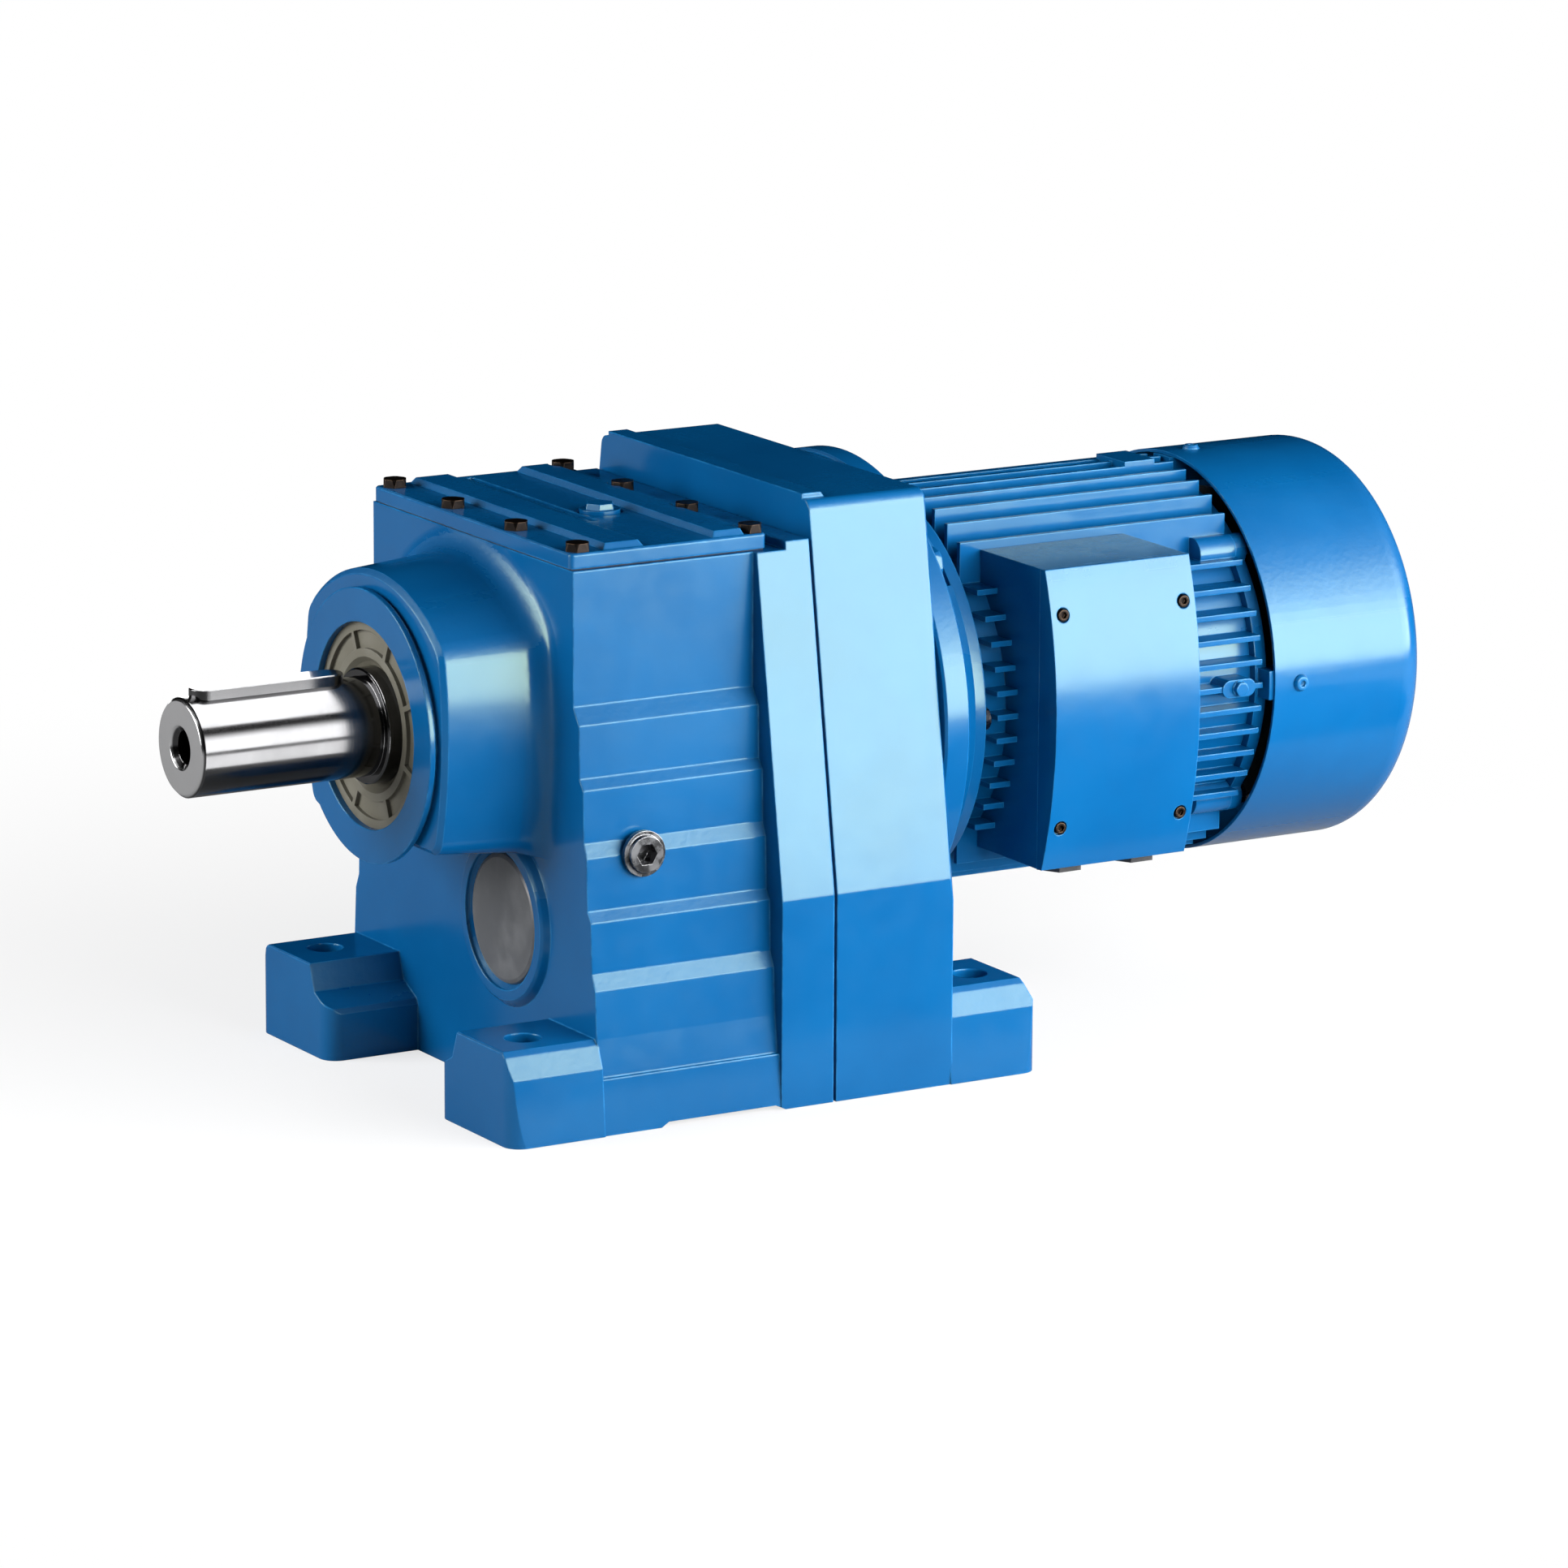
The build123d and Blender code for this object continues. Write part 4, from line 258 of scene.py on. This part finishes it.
def copper_wire(name):
    """Varnished copper winding with the lay of the wires."""
    made, tree, surface = material(name)
    where = place(tree)
    lay = {"Vector": where, "Scale": 260, "Distortion": 3, "Detail": 2}
    wires = add_node(tree, "ShaderNodeTexWave", lay).outputs["Fac"]
    blotch = noise(tree, where, 90, 4)
    finish_surface(tree, surface, {
        "Base Color": blend(tree, blotch, (0.32, 0.10, 0.03, 1), (0.62, 0.26, 0.10, 1)),
        "Metallic": 0.8,
        "Roughness": spread(tree, blotch, 0.3, 0.7, 0.28, 0.45),
        "Normal": bump(tree, wires, 0.0004),
    })
    return made


FINISHES = {
    "blue_paint": enamel("enamel_cast", 0.00001, 0.0016),
    "breather_paint": enamel("enamel_breather", 0.00001, 0.0008),
    "ground_steel": ground_steel("shaft_steel", OUTPUT_AXIS_Z, STEEL_DARK, 0.09),
    "gear_steel": plain_metal("gear_steel", STEEL_GREY, STEEL_LIGHT, 0.28),
    "bearing_steel": ground_steel("bearing_steel", OUTPUT_AXIS_Z, STEEL_LIGHT, 0.10),
    "cage_brass": plain_metal("cage_brass", (0.62, 0.40, 0.13, 1), (0.85, 0.66, 0.35, 1), 0.25),
    "dark_screw": plain_metal("black_screw", BLACK_OXIDE, BRONZED, 0.34, wear=0.9),
    "zinc_steel": plain_metal("zinc_plate", (0.20, 0.205, 0.215, 1), (0.50, 0.50, 0.50, 1), 0.20),
    "spring_steel": plain_metal("spring_steel", (0.16, 0.155, 0.15, 1), STEEL_GREY, 0.30),
    "cap_grey": dull_solid("cap_grey", (0.080, 0.084, 0.090, 1), 0.30, 1500, 0.000012, 0.4),
    "seal_rubber": dull_solid("seal_rubber", (0.115, 0.108, 0.080, 1), 0.42, 1300, 0.00003),
    "gasket_fibre": dull_solid("gasket_fibre", (0.010, 0.018, 0.035, 1), 0.65, 1200, 0.00004),
    "core_steel": plain_metal("core_steel", (0.30, 0.30, 0.32, 1), STEEL_GREY, 0.38),
    "copper_windings": copper_wire("copper_windings"),
    "fan_plastic": dull_solid("fan_plastic", (0.022, 0.023, 0.026, 1), 0.42, 1500, 0.00002),
    "board_plastic": dull_solid("board_plastic", (0.16, 0.035, 0.02, 1), 0.40, 1500, 0.00002),
    "stud_brass": plain_metal("stud_brass", (0.66, 0.46, 0.18, 1), (0.9, 0.74, 0.42, 1), 0.22),
}
SHEET_ENAMEL = enamel("enamel_sheet", 0.000008, 0.0010)
POLISHED_NODES = ("output_shaft", "output_shaft_key")
SHEET_NODES = (
    "fan_cover", "terminal_box", "terminal_box_lid", "motor_flange", "motor_frame", "rear_end_shield",
)


def dress_cad():
    """Each CAD node takes the finish of its material slot; the motor gets the smoother enamel."""
    for name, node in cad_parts.items():
        for slot in node.material_slots:
            finish = FINISHES[slot.material.name.split(".")[0]]
            slot.material = finish
            if name in SHEET_NODES and finish is FINISHES["blue_paint"]:
                slot.material = SHEET_ENAMEL


# ================================================================ studio
def aim(back, right):
    """Rotation whose Z is the back vector and whose X is the right vector."""
    up = back.cross(right)
    return Matrix((right, up, back)).transposed()


def soft_panel(name, centre, facing, width, height, radiance, fade, receivers=None):
    """Glowing studio panel, unseen by the camera, dimmer towards its sides and its top.

    It faces the object; facing is the direction from the object to the panel.
    """
    back = Vector(facing).normalized()
    level = Vector((0, 0, 1)).cross(back)
    right = level.normalized() if level.length > 0.01 else Vector((1, 0, 0))
    mesh = bpy.data.meshes.new(name)
    around = ((-1, -1), (-1, 1), (1, 1), (1, -1))
    corners = [(side * width / 2, rise * height / 2, 0) for side, rise in around]
    mesh.from_pydata(corners, [], [(0, 1, 2, 3)])
    panel = bpy.data.objects.new(name, mesh)
    panel.matrix_world = Matrix.Translation(centre) @ aim(back, right).to_4x4()
    panel.visible_camera = False
    made = bpy.data.materials.new(name)
    made.use_nodes = True
    tree = made.node_tree
    tree.nodes.clear()
    across, along, _ = add_node(tree, "ShaderNodeSeparateXYZ", {0: place(tree)}).outputs
    across_rim = calc(tree, "SUBTRACT", width / 2, calc(tree, "ABSOLUTE", across))
    top_rim = calc(tree, "SUBTRACT", height / 2, along)
    glow = calc(tree, "MULTIPLY", spread(tree, across_rim, 0, 0.3), spread(tree, top_rim, 0, fade))
    facing_out = add_node(tree, "ShaderNodeNewGeometry", {}).outputs["Backfacing"]
    front = calc(tree, "SUBTRACT", 1.0, facing_out)
    strength = calc(tree, "MULTIPLY", calc(tree, "MULTIPLY", glow, front), radiance)
    light = add_node(tree, "ShaderNodeEmission", {"Strength": strength})
    add_node(tree, "ShaderNodeOutputMaterial", {"Surface": light.outputs[0]})
    mesh.materials.append(made)
    bpy.context.scene.collection.objects.link(panel)
    if receivers is not None:
        panel.light_linking.receiver_collection = receivers
    return panel


def light_group(name, lit):
    """Collection of the only objects that a panel lights."""
    group = bpy.data.collections.new(name)
    for thing in lit:
        group.objects.link(thing)
    return group


def studio_world():
    """Dim surroundings for the light on the object, and a white backdrop for the camera."""
    world = bpy.data.worlds.new("studio")
    bpy.context.scene.world = world
    world.use_nodes = True
    tree = world.node_tree
    tree.nodes.clear()
    seen = add_node(tree, "ShaderNodeLightPath", {}).outputs["Is Camera Ray"]
    glossy = add_node(tree, "ShaderNodeLightPath", {}).outputs["Is Glossy Ray"]
    level = spread(tree, glossy, 0, 1, WORLD_LIGHT, WORLD_REFLECTION)
    dim = add_node(tree, "ShaderNodeBackground", {"Color": (0.9, 0.95, 1, 1), "Strength": level})
    white = add_node(tree, "ShaderNodeBackground", {"Color": (1, 1, 1, 1), "Strength": 1.0})
    mixed = add_node(tree, "ShaderNodeMixShader", {0: seen, 1: dim.outputs[0], 2: white.outputs[0]})
    add_node(tree, "ShaderNodeOutputWorld", {"Surface": mixed.outputs[0]})


def studio_floor():
    """Pale floor that fades into the white backdrop."""
    mesh = bpy.data.meshes.new("floor")
    around = ((-1, -1), (1, -1), (1, 1), (-1, 1))
    corners = [(FLOOR_HALF * side, FLOOR_HALF * rear, 0) for side, rear in around]
    mesh.from_pydata(corners, [], [(0, 1, 2, 3)])
    floor = bpy.data.objects.new("floor", mesh)
    floor.location.z = cad_box[0][2] - 0.0002
    bpy.context.scene.collection.objects.link(floor)
    made, tree, surface = material("pale_floor")
    ray = add_node(tree, "ShaderNodeLightPath", {}).outputs
    seen = ray["Is Camera Ray"]
    pale = blend(tree, noise(tree, place(tree), 3, 3), (0.90, 0.90, 0.91, 1), (0.94, 0.94, 0.94, 1))
    bounced = blend(tree, ray["Is Glossy Ray"], (0.50, 0.50, 0.50, 1), (0.30, 0.30, 0.30, 1))
    tone = blend(tree, seen, bounced, pale)
    finish_surface(tree, surface, {"Base Color": tone, "Roughness": 0.9, "Specular IOR Level": 0.1})
    # the camera sees an even white sweep, with soft shadows only close to the object
    distance = add_node(tree, "ShaderNodeVectorMath", {0: place(tree)}, operation="LENGTH").outputs["Value"]
    whiteness = spread(tree, distance, 0.25 * SHADOW_REACH, SHADOW_REACH, FLOOR_GLOW, 1.0)
    sweep = calc(tree, "MULTIPLY", seen, whiteness)
    white = add_node(tree, "ShaderNodeEmission", {"Color": (1, 1, 1, 1), "Strength": 1.0})
    mixed = add_node(tree, "ShaderNodeMixShader", {0: sweep, 1: surface.outputs[0], 2: white.outputs[0]})
    tree.links.new(mixed.outputs[0], tree.nodes["Material Output"].inputs["Surface"])
    mesh.materials.append(made)


def studio_camera():
    """Long lens at the photo's angle."""
    back = Vector((math.sin(VIEW_AZIMUTH) * math.cos(VIEW_ELEVATION),
                   -math.cos(VIEW_AZIMUTH) * math.cos(VIEW_ELEVATION), math.sin(VIEW_ELEVATION)))
    level = Vector((math.cos(VIEW_AZIMUTH), math.sin(VIEW_AZIMUTH), 0.0))
    up = back.cross(level)
    right = level * math.cos(VIEW_ROLL) + up * math.sin(VIEW_ROLL)
    data = bpy.data.cameras.new("camera")
    data.lens = VIEW_LENS
    data.sensor_width = SENSOR_WIDTH
    data.clip_end = 60.0
    camera = bpy.data.objects.new("camera", data)
    camera.matrix_world = Matrix.Translation(VIEW_TARGET + back * VIEW_DISTANCE) @ aim(back, right).to_4x4()
    bpy.context.scene.collection.objects.link(camera)
    bpy.context.scene.camera = camera


def studio():
    """Surroundings, camera and panels; the steel panels light only the polished shaft and its key."""
    bpy.context.scene.view_settings.view_transform = "Standard"
    studio_world()
    studio_floor()
    studio_camera()
    steel = light_group("polished", [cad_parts[name] for name in POLISHED_NODES])
    outward = Vector((math.cos(KEY_BEARING), math.sin(KEY_BEARING), 0.0))
    foot = Vector((0.1, -0.1, 0.0)) + outward * KEY_DISTANCE
    # name, centre, direction from the object, width, height, radiance, fade at the top, receivers
    soft_panel("side_box", foot + Vector((0, 0, 0.76)), outward, 2.8, 1.3, 13.0, 0.65)
    soft_panel("front_fill", Vector((-2.4, 0.9, 1.1)), (-2.4, 0.9, 0.9), 2.0, 1.8, 11.0, 0.3)
    soft_panel("steel_top", Vector((0.6, -0.1, 1.9)), (0, 0, 1), 4.0, 2.4, 13.0, 0.12, steel)
    soft_panel("steel_back", Vector((0.7, 1.7, 0.6)), (0.5, 0.84, 0.1), 1.6, 1.1, 5.0, 0.3, steel)
    below = soft_panel("steel_below", Vector((0.2, -0.66, 0.012)), (0, 0, -1), 1.3, 0.80, 9.0, 0.1, steel)
    below.visible_diffuse = False
    below.visible_shadow = False
    overhead = soft_panel("overhead", Vector((0.1, 0.6, 2.6)), (0, 0.2, 1), 2.6, 2.6, 0.2, 0.3)
    overhead.visible_glossy = False


dress_cad()
studio()
